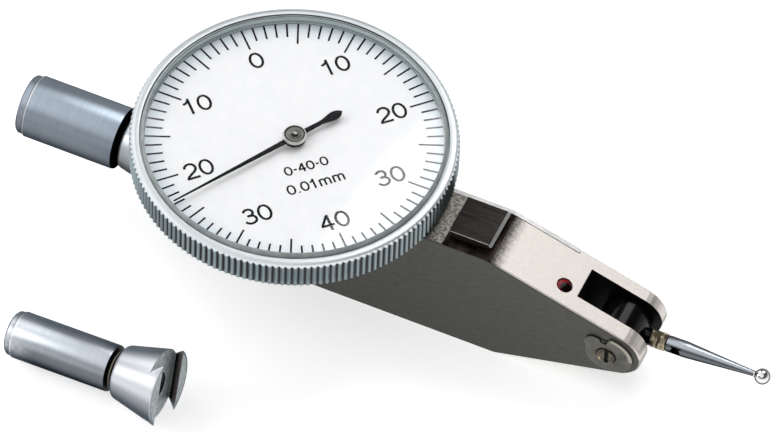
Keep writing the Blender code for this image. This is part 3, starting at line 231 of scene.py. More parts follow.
# Straight grinding lines are noise drawn out along one axis, with soft blotches beside them.
grind, grind_in, grind_out = new_group(
    "Grinding Lines", {"Stretch": (200.0, 4000.0, 4000.0), "Contrast": 1.0}, ("Lines", "Blotches"))
place = object_place(grind)
coarse = add_node(grind, "TexNoise", {
    "Vector": vector_node('MULTIPLY', place, grind_in["Stretch"]),
    "Scale": 1.0, "Detail": 5.0, "Roughness": 0.65})
centred = minus(coarse.outputs["Fac"], 0.5)
scaled = times(centred, grind_in["Contrast"])
blotch = add_node(grind, "TexNoise", {"Vector": place, "Scale": 420.0, "Detail": 4.0})
fill(grind_out, {"Lines": math_node('ADD', scaled, 0.5), "Blotches": blotch.outputs["Fac"]})

# A box-shaped zone is 1 inside the box and falls to 0 over a share of its half size.
zone, zone_in, zone_out = new_group(
    "Box Zone", {"Middle": (0.0, 0.0, 0.0), "Half Size": (1.0, 1.0, 1.0), "Fade": 0.02}, ("Mask",))
offset = vector_node('SUBTRACT', object_place(zone), zone_in["Middle"])
share = parts_of(vector_node('ABSOLUTE', vector_node('DIVIDE', offset, zone_in["Half Size"])))
widest = math_node('MAXIMUM', math_node('MAXIMUM', share[0], share[1]), share[2])
edge = math_node('ADD', zone_in["Fade"], 1.0)
fill(zone_out, {"Mask": rise(widest, 1.0, edge, 1.0, 0.0)})


def grinding(tree, stretch, contrast):
    """The Lines and Blotches of a ground surface; one number for stretch gives even grains."""
    stretch = stretch if isinstance(stretch, tuple) else (stretch, stretch, stretch)
    return add_node(tree, "Group", {"Stretch": stretch, "Contrast": contrast},
                    node_tree=grind).outputs


def box_zone(tree, low, high, fade=0.02):
    """The mask of a box, from its lowest to its highest corner in mm."""
    middle = tuple((a + b) / 2 * MM for a, b in zip(low, high))
    half = tuple((b - a) / 2 * MM for a, b in zip(low, high))
    return add_node(tree, "Group", {"Middle": middle, "Half Size": half, "Fade": fade},
                    node_tree=zone).outputs["Mask"]


def two_tones(mask, dark, light, low=0.35, high=0.65):
    """A colour that goes from dark to light as the mask rises."""
    ramp = add_node(mask.id_data, "ValToRGB", {"Fac": mask})
    for element, position, colour in zip(ramp.color_ramp.elements, (low, high), (dark, light)):
        element.position = position
        element.color = (*colour, 1.0)
    return ramp.outputs["Color"]


def mixed(mask, first, second, blend='MIX'):
    """The first colour, or the second where the mask is 1."""
    return add_node(mask.id_data, "Mix", {0: mask, 6: first, 7: second}, data_type='RGBA',
                    blend_type=blend).outputs[2]


def surface(shader, tone, patches, roughness, height=None, strength=0.0, depth=0.0):
    """Give a material its colour, a roughness that follows its patches, and a relief in mm."""
    gloss = rise(patches, 0.0, 1.0, *roughness, smooth=False)
    fill(shader, {"Base Color": tone, "Roughness": gloss})
    if height is not None:
        bump = add_node(shader.id_data, "Bump", {
            "Strength": strength, "Distance": depth * MM, "Height": height})
        fill(shader, {"Normal": bump.outputs[0]})


def coat(material, *names):
    """Give CAD nodes their material."""
    for name in names:
        nodes[name].material_slots[0].material = material


body_material, tree, shader = blank_material("milled_body_steel", {"Specular IOR Level": 0.1})
marks = grinding(tree, (700.0, 5200.0, 5200.0), 1.1)
side_marks = grinding(tree, (900.0, 900.0, 6000.0), 1.0)
grains = grinding(tree, (2600.0, 3400.0, 3400.0), 1.7)
top_tone = two_tones(marks["Lines"], (0.66, 0.62, 0.58), (0.79, 0.75, 0.71))
top_tone = mixed(times(marks["Blotches"], 0.5), top_tone, (0.66, 0.595, 0.555))
# The sides' dark grey is partly their satin finish and partly painted shade.
side_tone_and_shade = two_tones(side_marks["Lines"], (0.070, 0.069, 0.063), (0.098, 0.096, 0.088))
strip_tone = two_tones(grains["Lines"], (0.11, 0.10, 0.085), (0.38, 0.365, 0.335), 0.32, 0.68)
# Around the dovetail block the shoulder is painted dark brown: painted shade and a painted
# reflection of the black block.
shoulder_shade_tone = two_tones(marks["Blotches"], (0.008, 0.005, 0.004), (0.06, 0.045, 0.038), 0.4, 0.7)
side_zone = box_zone(tree, (-60.0, -9.0, -9.0), (60.0, -4.52, 30.0), 0.01)
far_zone = box_zone(tree, (-60.0, 4.0, -9.0), (60.0, 9.0, 30.0), 0.01)
low_zone = box_zone(tree, (-60.0, -9.0, -9.0), (60.0, 9.0, 9.0), 0.03)
strip_zone = box_zone(tree, (-30.0, -9.0, 17.0), (22.4, 9.0, 19.0), 0.01)
shoulder_shade_zone = box_zone(tree, (21.9, -9.0, 17.45), (28.3, 9.0, 19.0), 0.03)
# The inside of the fork is painted black and not metallic, as painted shade in the slot.
fork_shade_zone = box_zone(tree, (39.1, -2.3, -9.0), (60.0, 2.3, 30.0), 0.005)
# Grime and painted shade, with a ragged edge, lie where the nose leaves the shoulder beside the
# block.
ragged = times(minus(grains["Lines"], 0.5), 1.1 * MM)
nose_place = math_node('ADD', parts_of(object_place(tree))[0], ragged)
grime_and_shade = rise(nose_place, 28.2 * MM, 30.3 * MM, 1.0, 0.0)
tone = mixed(grime_and_shade, top_tone, (0.05, 0.046, 0.042))
tone = mixed(low_zone, tone, (0.42, 0.41, 0.38))
tone = mixed(strip_zone, tone, strip_tone)
tone = mixed(shoulder_shade_zone, tone, shoulder_shade_tone)
tone = mixed(side_zone, tone, side_tone_and_shade)
tone = mixed(far_zone, tone, side_tone_and_shade)
tone = mixed(fork_shade_zone, tone, (0.003, 0.0025, 0.0025))
BODY_METAL = 0.85
fill(shader, {"Metallic": minus(BODY_METAL, times(fork_shade_zone, BODY_METAL))})
surface(shader, tone, marks["Lines"], (0.34, 0.52), marks["Lines"], 0.25, 0.012)
coat(body_material, "body_frame")

# Side cover. A thin satin plate closes the far side of the body and is held by
# three small countersunk screws with slotted heads.
cover_material, tree, shader = blank_material("satin_cover", {"Metallic": 0.9})
marks = grinding(tree, (500.0, 4200.0, 4200.0), 1.2)
tone = two_tones(marks["Lines"], (0.50, 0.50, 0.49), (0.66, 0.66, 0.65))
surface(shader, tone, marks["Blotches"], (0.32, 0.5), marks["Lines"], 0.2, 0.01)
coat(cover_material, "side_cover")

screw_material, tree, shader = blank_material("blued_screw_steel", {"Metallic": 0.9})
marks = grinding(tree, 2500.0, 1.4)
tone = two_tones(marks["Lines"], (0.030, 0.030, 0.036), (0.085, 0.086, 0.100))
surface(shader, tone, marks["Blotches"], (0.25, 0.42), marks["Lines"], 0.15, 0.01)
coat(screw_material, "cover_screw_1", "cover_screw_2", "cover_screw_3")

# Dovetail blocks. Blackened steel blocks on the shoulder and on the rear face,
# ground flat on top with fine straight lines, where a clamp head slides on.


def take(pieces):
    """Select these pieces and nothing else, with the first one active."""
    bpy.ops.object.select_all(action='DESELECT')
    for piece in pieces:
        piece.select_set(True)
    bpy.context.view_layer.objects.active = pieces[0]


def settle(piece, location=(0.0, 0.0, 0.0), turn=(0.0, 0.0, 0.0), angle=32.0):
    """Put a piece in its place, leave that place in its mesh, and smooth it by angle."""
    take([piece])
    piece.location = location
    piece.rotation_euler = turn
    bpy.ops.object.transform_apply(location=True, rotation=True, scale=True)
    bpy.ops.object.shade_smooth_by_angle(angle=math.radians(angle))


def dress(piece, material, body, slot, *replaced):
    """Give a piece its material, the body that carries it, and what it stands for."""
    piece.data.materials.clear()
    piece.data.materials.append(material)
    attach(piece, body)
    if replaced:
        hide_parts(*replaced)


def thicken(height):
    """Extrude the flat shape in edit mode by a height in mm, and turn its faces outwards."""
    bpy.ops.mesh.select_all(action='SELECT')
    bpy.ops.mesh.extrude_region_move(TRANSFORM_OT_translate={"value": (0.0, 0.0, height * MM)})
    bpy.ops.mesh.select_all(action='SELECT')
    bpy.ops.mesh.normals_make_consistent(inside=False)
    bpy.ops.object.mode_set(mode='OBJECT')


def plate(name, outline, thickness, edge_width):
    """A flat piece in mm: a circle takes the shape of an outline, is extruded up and bevelled."""
    bpy.ops.object.select_all(action='DESELECT')
    bpy.ops.mesh.primitive_circle_add(vertices=len(outline), radius=MM, fill_type='NGON')
    piece = bpy.context.active_object
    piece.name = name
    for vertex, (across, along) in zip(piece.data.vertices, outline):
        vertex.co = Vector((across, along, 0.0)) * MM
    bpy.ops.object.mode_set(mode='EDIT')
    thicken(thickness)
    edge = piece.modifiers.new("edge", 'BEVEL')
    edge.width = edge_width * MM
    edge.segments = 2
    edge.limit_method = 'ANGLE'
    bpy.ops.object.modifier_apply(modifier=edge.name)
    return piece


BLOCK_LENGTH = 5.8
BLOCK_FAR_END = 2.625
front_block = plate("front_dovetail_block", [
    (22.86, 17.85), (27.34, 17.85), (27.86, 18.60), (27.94, 18.72), (27.55, 19.0), (22.30, 19.0),
    (22.2, 18.93)], thickness=BLOCK_LENGTH, edge_width=0.05)
settle(front_block, (0.0, BLOCK_FAR_END * MM, 0.0), (math.pi / 2, 0.0, 0.0), 20.0)
block_material, tree, shader = blank_material("blackened_dovetail", {"Metallic": 0.75})
marks = grinding(tree, (350.0, 7500.0, 1500.0), 1.5)
black_tone = two_tones(marks["Lines"], (0.011, 0.008, 0.0075), (0.038, 0.031, 0.029))
# The bevel and the near top edge are painted light grey: along the near edge a painted highlight, on
# the bevel worn bare metal with a painted highlight.
bevel_wear_and_highlight = box_zone(tree, (27.57, -9.0, 18.60), (28.4, 9.0, 18.99))
near_edge_highlight = box_zone(tree, (21.0, -3.35, 18.93), (28.4, -3.13, 19.1))
tone = mixed(math_node('MAXIMUM', bevel_wear_and_highlight, near_edge_highlight), black_tone, (0.46, 0.47, 0.46))
surface(shader, tone, marks["Lines"], (0.36, 0.56), marks["Lines"], 0.4, 0.02)
dress(front_block, block_material, "case", "dark_steel", "front_dovetail")
coat(block_material, "rear_dovetail")

# Pivot plate and pivot screws. A small keyhole-shaped plate covers the
# recess on the near side of the nose, under the slotted head of the pivot screw.


def turned(name, profile, steps, closed=False):
    """Turn a profile of (radius, height) points in mm: a circle is extruded and resized."""
    bpy.ops.object.select_all(action='DESELECT')
    radius, height = profile[0]
    bpy.ops.mesh.primitive_circle_add(vertices=steps, radius=radius * MM,
                                      location=(0.0, 0.0, height * MM))
    piece = bpy.context.active_object
    piece.name = name
    bpy.ops.object.transform_apply(location=True, rotation=True, scale=True)
    bpy.ops.object.mode_set(mode='EDIT')
    bpy.ops.mesh.select_mode(type='EDGE')
    bpy.ops.mesh.select_all(action='SELECT')
    for next_radius, next_height in profile[1:] + ([profile[0]] if closed else []):
        bpy.ops.mesh.extrude_edges_move(
            TRANSFORM_OT_translate={"value": (0.0, 0.0, (next_height - height) * MM)})
        factor = next_radius / radius
        bpy.ops.transform.resize(value=(factor, factor, 1.0),
                                 center_override=(0.0, 0.0, next_height * MM))
        radius, height = next_radius, next_height
    bpy.ops.mesh.select_mode(type='VERT')
    bpy.ops.mesh.select_all(action='SELECT')
    bpy.ops.mesh.remove_doubles(threshold=0.0005 * MM)
    if not closed:
        bpy.ops.mesh.fill_holes(sides=0)
    bpy.ops.mesh.select_all(action='SELECT')
    bpy.ops.mesh.normals_make_consistent(inside=False)
    bpy.ops.object.mode_set(mode='OBJECT')
    return piece


def cut(piece, tool):
    """Cut the shape of a tool out of a piece, and put the tool away."""
    removal = piece.modifiers.new("cut", 'BOOLEAN')
    removal.operation = 'DIFFERENCE'
    removal.solver = 'EXACT'
    removal.object = tool
    bpy.context.view_layer.objects.active = piece
    bpy.ops.object.modifier_apply(modifier=removal.name)
    bpy.data.objects.remove(tool, do_unlink=True)


# The plate is three circles joined, each (across, along, radius). A notch lies above the
# screw, between angles in degrees; its side falls and its floor rises in mm for each degree.
PIVOT = Vector((44.3, 0.0, 8.2))
PLATE_CIRCLES = ((0.5, 0.2, 2.95), (0.0, 0.0, 2.78), (-1.69, 1.47, 1.24))
PLATE_STEPS = 180
NOTCH_START, NOTCH_FLOOR, NOTCH_END = 84.0, 93.0, 112.0
NOTCH_OUTER, NOTCH_INNER = 3.2, 1.98
SIDE_FALL, FLOOR_RISE = 0.135, 0.014
plate_outline = []
for step in range(PLATE_STEPS):
    turn = math.tau * step / PLATE_STEPS
    reach = 0.0
    for across, along, radius in PLATE_CIRCLES:
        beside = across * math.sin(turn) - along * math.cos(turn)
        if abs(beside) < radius:
            ahead = across * math.cos(turn) + along * math.sin(turn)
            reach = max(reach, ahead + math.sqrt(radius ** 2 - beside ** 2))
    degrees = math.degrees(turn)
    if NOTCH_START < degrees < NOTCH_FLOOR:
        reach = min(reach, NOTCH_OUTER - SIDE_FALL * (degrees - NOTCH_START))
    elif NOTCH_FLOOR <= degrees < NOTCH_END:
        reach = NOTCH_INNER + FLOOR_RISE * (degrees - NOTCH_FLOOR)
    plate_outline.append((reach * math.cos(turn), reach * math.sin(turn)))
PLATE_BACK = -4.61
SCREW_HOLE = 1.36
pivot_plate = plate("worn_pivot_plate", plate_outline, thickness=0.27, edge_width=0.10)
bpy.ops.mesh.primitive_cylinder_add(vertices=48, radius=SCREW_HOLE * MM, depth=4.0 * MM)
cut(pivot_plate, bpy.context.active_object)
settle(pivot_plate, (PIVOT.x * MM, PLATE_BACK * MM, PIVOT.z * MM), (math.pi / 2, 0.0, 0.0))
plate_material, tree, shader = blank_material("worn_pivot_plate", {"Metallic": 0.85})
marks = grinding(tree, 2600.0, 1.3)
tone = two_tones(marks["Blotches"], (0.080, 0.078, 0.068), (0.150, 0.146, 0.130))
# A painted highlight lies on the plate's upper right edge, where it faces the rear lamp.
highlight_centre = (PIVOT + Vector((0.25, -4.85, 0.1))) * MM
from_middle = vector_node('DISTANCE', object_place(tree), highlight_centre)
edge_highlight_ring = rise(from_middle, 2.64 * MM, 2.84 * MM, smooth=False)
lit_corner = box_zone(tree, (44.9, -9.0, 8.6), (48.0, 0.0, 12.0), 0.12)
tone = mixed(times(edge_highlight_ring, lit_corner), tone, (0.38, 0.37, 0.31))
surface(shader, tone, marks["Lines"], (0.36, 0.58), marks["Lines"], 0.3, 0.015)
dress(pivot_plate, plate_material, "case", "dark_steel", "pivot_plate")

SCREW_FOOT = -4.38
SLOT_WIDTH = 0.52
SLOT_OFFSET = 0.17
near_screw = turned("slotted_pivot_screw", [
    (1.0, 0.0), (1.22, 0.02), (1.22, 0.62), (1.14, 0.72), (0.9, 0.78), (0.5, 0.80), (0.02, 0.80)],
    64)
bpy.ops.object.select_all(action='DESELECT')
bpy.ops.mesh.primitive_cube_add(size=1.0, location=(SLOT_OFFSET * MM, 0.0, 0.8 * MM))
slot_cutter = bpy.context.active_object
slot_cutter.scale = (SLOT_WIDTH * MM, 4.0 * MM, 0.9 * MM)
cut(near_screw, slot_cutter)
settle(near_screw, (PIVOT.x * MM, SCREW_FOOT * MM, PIVOT.z * MM), (math.pi / 2, 0.0, 0.0))
pivot_material, tree, shader = blank_material("yellowed_pivot_screw", {"Metallic": 0.9})
marks = grinding(tree, 3200.0, 1.4)
tone = two_tones(marks["Lines"], (0.045, 0.040, 0.032), (0.14, 0.122, 0.09))
# A small gold painted highlight lies at the lower left of the screw head.
gold_glint_highlight = box_zone(tree, (43.42, -9.0, 7.42), (43.62, 0.0, 7.78), 0.9)
tone = mixed(gold_glint_highlight, tone, (0.62, 0.42, 0.20))
# The slot is painted black as the shade inside it.
screw_slot_shade = box_zone(tree, (44.22, -9.0, 6.0), (44.72, -4.0, 10.5), 0.04)
tone = mixed(screw_slot_shade, tone, (0.003, 0.002, 0.002))
surface(shader, tone, marks["Blotches"], (0.25, 0.45), marks["Lines"], 0.2, 0.012)
dress(near_screw, pivot_material, "case", "dark_steel", "pivot_screw_near")
coat(pivot_material, "pivot_screw_far")

# Ruby plug. A polished red jewel is pressed into the sloping top of the nose.
# Light enters its upper side, and the lower side looks almost black.
ruby_material, tree, shader = blank_material("polished_ruby", {"Specular IOR Level": 0.12})
depth = grinding(tree, 900.0, 1.6)
red_tone = two_tones(depth["Lines"], (0.09, 0.002, 0.008), (0.36, 0.012, 0.020))
dark_side = Vector((37.50, -1.95, 14.60)) * MM
from_dark = vector_node('DISTANCE', object_place(tree), dark_side)
tone = mixed(rise(from_dark, 0.62 * MM, 0.95 * MM), (0.004, 0.001, 0.002), red_tone)
surface(shader, tone, depth["Blotches"], (0.08, 0.18))
RUBY_RADIUS = 0.93
RUBY_STEPS = 48
RUBY_TOP = Vector((37.2, -1.8, 14.775))
FOOT_DEPTH = 0.72
NOSE_FALL = math.radians(17.82)
nose_up = Vector((math.sin(NOSE_FALL), 0.0, math.cos(NOSE_FALL)))
ruby_turns = [math.tau * step / RUBY_STEPS for step in range(RUBY_STEPS)]
ruby = plate("ruby_jewel", [(RUBY_RADIUS * math.cos(turn), RUBY_RADIUS * math.sin(turn))
                            for turn in ruby_turns], thickness=0.6, edge_width=0.12)
settle(ruby, (RUBY_TOP - nose_up * FOOT_DEPTH) * MM, (0.0, NOSE_FALL, 0.0))
dress(ruby, ruby_material, "case", "ruby", "ruby_plug")

# Movement. A brass bridge on three pillars carries the jewelled arbors, the
# crown wheel and the hairspring; all of it sits behind the side cover.
brass_material, tree, shader = blank_material("movement_brass", {"Metallic": 1.0})
marks = grinding(tree, (600.0, 4800.0, 4800.0), 1.2)
tone = two_tones(marks["Lines"], (0.46, 0.33, 0.13), (0.66, 0.50, 0.23))
surface(shader, tone, marks["Blotches"], (0.26, 0.44), marks["Lines"], 0.2, 0.01)
coat(brass_material, "movement_bridge", "crown_wheel", "hairspring_stud")

jewel_material, tree, shader = blank_material("movement_jewel", {})
depth = grinding(tree, 1500.0, 1.2)
tone = two_tones(depth["Lines"], (0.22, 0.006, 0.03), (0.46, 0.03, 0.09))
surface(shader, tone, depth["Blotches"], (0.06, 0.16))
coat(jewel_material, "jewel_near", "jewel_far", "jewel_centre")

steel_material, tree, shader = blank_material("movement_steel", {"Metallic": 1.0})
marks = grinding(tree, (3000.0, 3000.0, 900.0), 1.2)
tone = two_tones(marks["Lines"], (0.34, 0.35, 0.36), (0.52, 0.53, 0.54))
surface(shader, tone, marks["Blotches"], (0.22, 0.38), marks["Lines"], 0.15, 0.008)
coat(steel_material, "bridge_screw_1", "bridge_screw_2", "bridge_screw_3", "pinion_arbor",
     "hairspring", "bezel_retainer")

# Dial case. A turned cup of dark steel under the bezel, fixed on the body, with
# a wire ring in its groove that holds the bezel down but lets it turn.
case_material, tree, shader = blank_material("turned_case_steel", {"Metallic": 0.9})
marks = grinding(tree, (300.0, 300.0, 7000.0), 1.3)
tone = two_tones(marks["Lines"], (0.10, 0.105, 0.115), (0.19, 0.20, 0.215))
surface(shader, tone, marks["Blotches"], (0.34, 0.5), marks["Lines"], 0.2, 0.012)
coat(case_material, "dial_case")

# Bezel. A satin chromed ring with 160 straight serrations round its edge and a
# rounded rim over the crystal. It is turned by hand to set the zero.


def pick(piece, test):
    """Select the vertices of a piece whose place passes a test."""
    for part in (piece.data.vertices, piece.data.edges, piece.data.polygons):
        part.foreach_set("select", [False] * len(part))
    for vertex in piece.data.vertices:
        vertex.select = test(vertex.co)


def beyond(value, limit):
    """The mask of what lies past a limit in mm."""
    return math_node('GREATER_THAN', value, limit * MM)


def within(value, limit):
    """The mask of what lies short of a limit in mm."""
    return math_node('LESS_THAN', value, limit * MM)


# Turning marks are fine rings round the Z axis, with soft cloudy patches.
rings, rings_in, rings_out = new_group(
    "Turning Rings", {"Pitch": 6000.0, "Clouds Scale": 260.0}, ("Rings", "Clouds", "Radius"))
place = object_place(rings)
reach = vector_node('LENGTH', vector_node('MULTIPLY', place, (1.0, 1.0, 0.0)))
along = times(math_node('ADD', reach, parts_of(place)[2]), rings_in["Pitch"])
ring_noise = add_node(rings, "TexNoise", {"W": along, "Scale": 1.0, "Detail": 3.0},
                      noise_dimensions='1D')
clouds = add_node(rings, "TexNoise", {
    "Vector": place, "Scale": rings_in["Clouds Scale"], "Detail": 3.0})
fill(rings_out, {"Rings": ring_noise.outputs["Fac"], "Clouds": clouds.outputs["Fac"],
                 "Radius": reach})


def turning(tree, pitch, clouds_scale):
    """The Rings, Clouds and Radius of a turned surface."""
    return add_node(tree, "Group", {"Pitch": pitch, "Clouds Scale": clouds_scale},
                    node_tree=rings).outputs


BEZEL_RADIUS = 20.3
SERRATIONS = 160
SERRATION_DEPTH = 0.28
KNURL_LOW, KNURL_HIGH = 18.20, 21.46
bezel = turned("knurled_bezel", [
    (19.03, 22.00), (19.07, 22.07), (19.16, 22.10), (19.40, 22.115), (19.60, 22.10),
    (19.77, 22.06), (19.91, 22.01), (20.03, 21.94),
    (BEZEL_RADIUS, KNURL_HIGH), (BEZEL_RADIUS, KNURL_LOW),
    (20.16, 18.12), (19.95, 18.10), (17.95, 18.10), (17.95, 20.35), (18.44, 20.35),
    (18.44, 21.00), (18.56, 21.25), (19.03, 21.25)], 4 * SERRATIONS, closed=True)
# Each serration has four columns of points: a crest, two flanks and a bottom that sinks most.
# They sink down the whole edge, and less on the chamfer under it.
for column, sink in ((2, SERRATION_DEPTH), (1, SERRATION_DEPTH * 0.42)):
    for low, high, share in ((20.25, 21.0, 1.0), (20.10, 20.20, 0.55)):
        def in_groove(place, column=column, low=low, high=high):
            here = round(math.atan2(place.y, place.x) / math.tau * 4 * SERRATIONS) % 4
            here = 1 if here == 3 else here
            return here == column and low < math.hypot(place.x, place.y) / MM < high
        pick(bezel, in_groove)
        bpy.ops.object.mode_set(mode='EDIT')
        bpy.ops.mesh.select_mode(type='VERT')
        factor = (BEZEL_RADIUS - sink * share) / BEZEL_RADIUS
        bpy.ops.transform.resize(value=(factor, factor, 1.0), center_override=(0.0, 0.0, 0.0))
        bpy.ops.object.mode_set(mode='OBJECT')
settle(bezel, angle=12.0)
bezel_material, tree, shader = blank_material("satin_chrome_bezel", {"Metallic": 0.95})
marks = turning(tree, 5200.0, 260.0)
place = object_place(tree)
level = parts_of(place)[2]
# The grooves are painted dark as shade where the surface lies deeper than the face of the rim and
# edge.
chamfer_drop = times(minus(level, 21.98 * MM), 0.52)
chamfer = minus(20.03 * MM, chamfer_drop)
face_radius = math_node('MINIMUM', chamfer, BEZEL_RADIUS * MM)
sunk = rise(minus(face_radius, marks["Radius"]), 0.13 * MM, 0.25 * MM)
groove_shade = times(sunk, beyond(marks["Radius"], 19.99))
# The serrated edge is painted a darker grey than the rim, as painted shade.
serration_shade = box_zone(tree, (-30.0, -30.0, 10.0), (30.0, 30.0, 21.47))
# The lip's inner wall is painted darker as shade, and on the far side its upper part is painted
# black as the shadow in the gap.
inner_wall_shade = rise(marks["Radius"], 19.04 * MM, 19.10 * MM, 1.0, 0.0, smooth=False)
FAR_SIDE = (-0.375, 0.927, 0.0)
far_gap_side = rise(vector_node('DOT_PRODUCT', place, FAR_SIDE), 13.5 * MM, 17.0 * MM)
gap_shadow = times(times(far_gap_side, beyond(level, 21.4)), inner_wall_shade)
tone = two_tones(marks["Rings"], (0.66, 0.71, 0.73), (0.79, 0.825, 0.84))
tone = mixed(serration_shade, tone, (0.26, 0.315, 0.33))
tone = mixed(groove_shade, tone, (0.020, 0.022, 0.024))
tone = mixed(inner_wall_shade, tone, (0.34, 0.38, 0.395))
tone = mixed(gap_shadow, tone, (0.008, 0.008, 0.009))
surface(shader, tone, marks["Clouds"], (0.34, 0.46), marks["Rings"], 0.12, 0.008)
dress(bezel, bezel_material, "bezel", "bezel", "bezel")

# Tension ring. A thin satin ring inside the crystal's edge keeps the crystal
# tight in the bezel; it shows as the blue-grey band round the dial.
tension_ring = turned("tension_ring", [
    (18.42, 20.96), (18.47, 21.06), (18.94, 21.66), (18.98, 21.66), (18.98, 21.30),
    (18.64, 21.30), (18.52, 20.98)], 200, closed=True)
settle(tension_ring)
tension_material, tree, shader = blank_material("blue_grey_tension_ring", {"Metallic": 0.8})
marks = turning(tree, 4000.0, 90.0)
tone = two_tones(marks["Clouds"], (0.56, 0.655, 0.655), (0.69, 0.76, 0.75))
surface(shader, tone, marks["Rings"], (0.24, 0.36), marks["Rings"], 0.1, 0.006)
dress(tension_ring, tension_material, "bezel", "bezel")

# Dial plate. A thin disc with a smooth off-white enamel face, printed in black:
# 80 divisions, numbers both ways from nought and the value of one division.
DIAL_FACE = 20.9
DIAL_BACK = 20.50
PRINT_HEIGHT = 20.915
dial = turned("enamelled_dial", [
    (0.90, DIAL_BACK), (0.90, DIAL_FACE - 0.02), (0.92, DIAL_FACE), (18.35, DIAL_FACE),
    (18.40, DIAL_FACE - 0.04), (18.40, DIAL_BACK)], 128, closed=True)
settle(dial)
dial_material, tree, shader = blank_material("off_white_enamel", {})
marks = turning(tree, 3000.0, 700.0)
face = two_tones(marks["Clouds"], (0.815, 0.795, 0.795), (0.85, 0.825, 0.822))
blue_rim = rise(marks["Radius"], 15.2 * MM, 17.9 * MM, 0.0, 0.6)
tone = mixed(blue_rim, face, (0.62, 0.72, 0.77))
surface(shader, tone, marks["Clouds"], (0.38, 0.52), marks["Clouds"], 0.05, 0.01)
dress(dial, dial_material, "bezel", "dial", "dial_plate")

ink_material, tree, shader = blank_material("dial_ink", {"Specular IOR Level": 0.06})
marks = turning(tree, 9000.0, 2600.0)
tone = two_tones(marks["Clouds"], (0.002, 0.002, 0.003), (0.010, 0.010, 0.013))
surface(shader, tone, marks["Clouds"], (0.4, 0.6))


def join(pieces, name):
    """Join pieces into one that carries the first one's place and a new name."""
    take(pieces)
    bpy.ops.object.join()
    pieces[0].name = name
    return pieces[0]


# One long and one short mark are drawn, and each is copied round the dial.
ZERO_ANGLE = 135.5
DIVISIONS = 80
INK_THICKNESS = 0.012
MARK_WIDTH = 0.25
MARK_CORNER = 0.035
MARK_OUTER = 18.34
LONG_INNER, SHORT_INNER = 15.2, 16.25
long_divisions = range(0, DIVISIONS, 5)
short_divisions = [division for division in range(DIVISIONS) if division % 5]
marks_made = []
for inner_end, divisions in ((LONG_INNER, long_divisions), (SHORT_INNER, short_divisions)):
    bpy.ops.object.select_all(action='DESELECT')
    middle = (inner_end + MARK_OUTER) / 2 * MM
    bpy.ops.mesh.primitive_plane_add(size=1.0, location=(middle, 0.0, PRINT_HEIGHT * MM))
    mark = bpy.context.active_object
    mark.scale = ((MARK_OUTER - inner_end) * MM, MARK_WIDTH * MM, 1.0)
    bpy.ops.object.transform_apply(location=True, rotation=True, scale=True)
    bpy.ops.object.mode_set(mode='EDIT')
    bpy.ops.mesh.select_all(action='SELECT')
    bpy.ops.mesh.bevel(offset=MARK_CORNER * MM, segments=2, affect='VERTICES')
    thicken(-INK_THICKNESS)
    for division in divisions:
        copy = bpy.data.objects.new("mark", mark.data.copy())
        bpy.context.collection.objects.link(copy)
        copy.data.transform(Matrix.Rotation(
            math.radians(ZERO_ANGLE + 360.0 * division / DIVISIONS), 4, 'Z'))
        marks_made.append(copy)
    bpy.data.objects.remove(mark, do_unlink=True)
scale_marks = join(marks_made, "dial_marks")
settle(scale_marks)
dress(scale_marks, ink_material, "bezel", "dial")

ARC_STEPS = 16


def arc(across, along, wide, high, start, end):
    """Points of an oval arc, for a printed stroke; angles in degrees."""
    turns = [math.radians(start + (end - start) * step / ARC_STEPS)
             for step in range(ARC_STEPS + 1)]
    return [(across + wide * math.cos(turn), along + high * math.sin(turn)) for turn in turns]


# Each figure has its width, then its strokes, for a figure that is 1 high.
FIGURES = {
    "0": (0.78, (arc(0.0, 0.0, 0.298, 0.436, 90.0, 450.0),)),
    "1": (0.74, ([(-0.27, 0.20), (-0.15, 0.225), (-0.05, 0.28), (0.01, 0.36), (0.035, 0.45)],
                 [(0.035, 0.498), (0.035, -0.498)])),
    "2": (0.78, (arc(0.0, 0.17, 0.275, 0.266, 172.0, -30.0)
                 + [(0.16, -0.06), (-0.05, -0.20), (-0.21, -0.32), (-0.285, -0.436)],
                 [(-0.34, -0.436), (0.33, -0.436)])),
    "3": (0.78, (arc(-0.01, 0.225, 0.235, 0.211, 160.0, -82.0),
                 arc(0.0, -0.195, 0.285, 0.241, 96.0, -165.0), [(-0.11, 0.035), (0.03, 0.035)])),
    "4": (0.78, ([(0.12, -0.498), (0.12, 0.47)], [(0.12, 0.44), (-0.29, -0.15)],
                 [(-0.34, -0.17), (0.33, -0.17)])),
    "m": (1.16, ([(-0.42, 0.22), (-0.42, -0.498)],
                 arc(-0.21, -0.02, 0.21, 0.19, 180.0, 0.0) + [(0.0, -0.498)],
                 arc(0.21, -0.02, 0.21, 0.19, 180.0, 0.0) + [(0.42, -0.498)])),
    ".": (0.38, ([(0.0, -0.498), (0.0, -0.38)],)),
    "-": (0.50, ([(-0.14, -0.04), (0.14, -0.04)],)),
}
PRINT_FLATNESS = 0.06


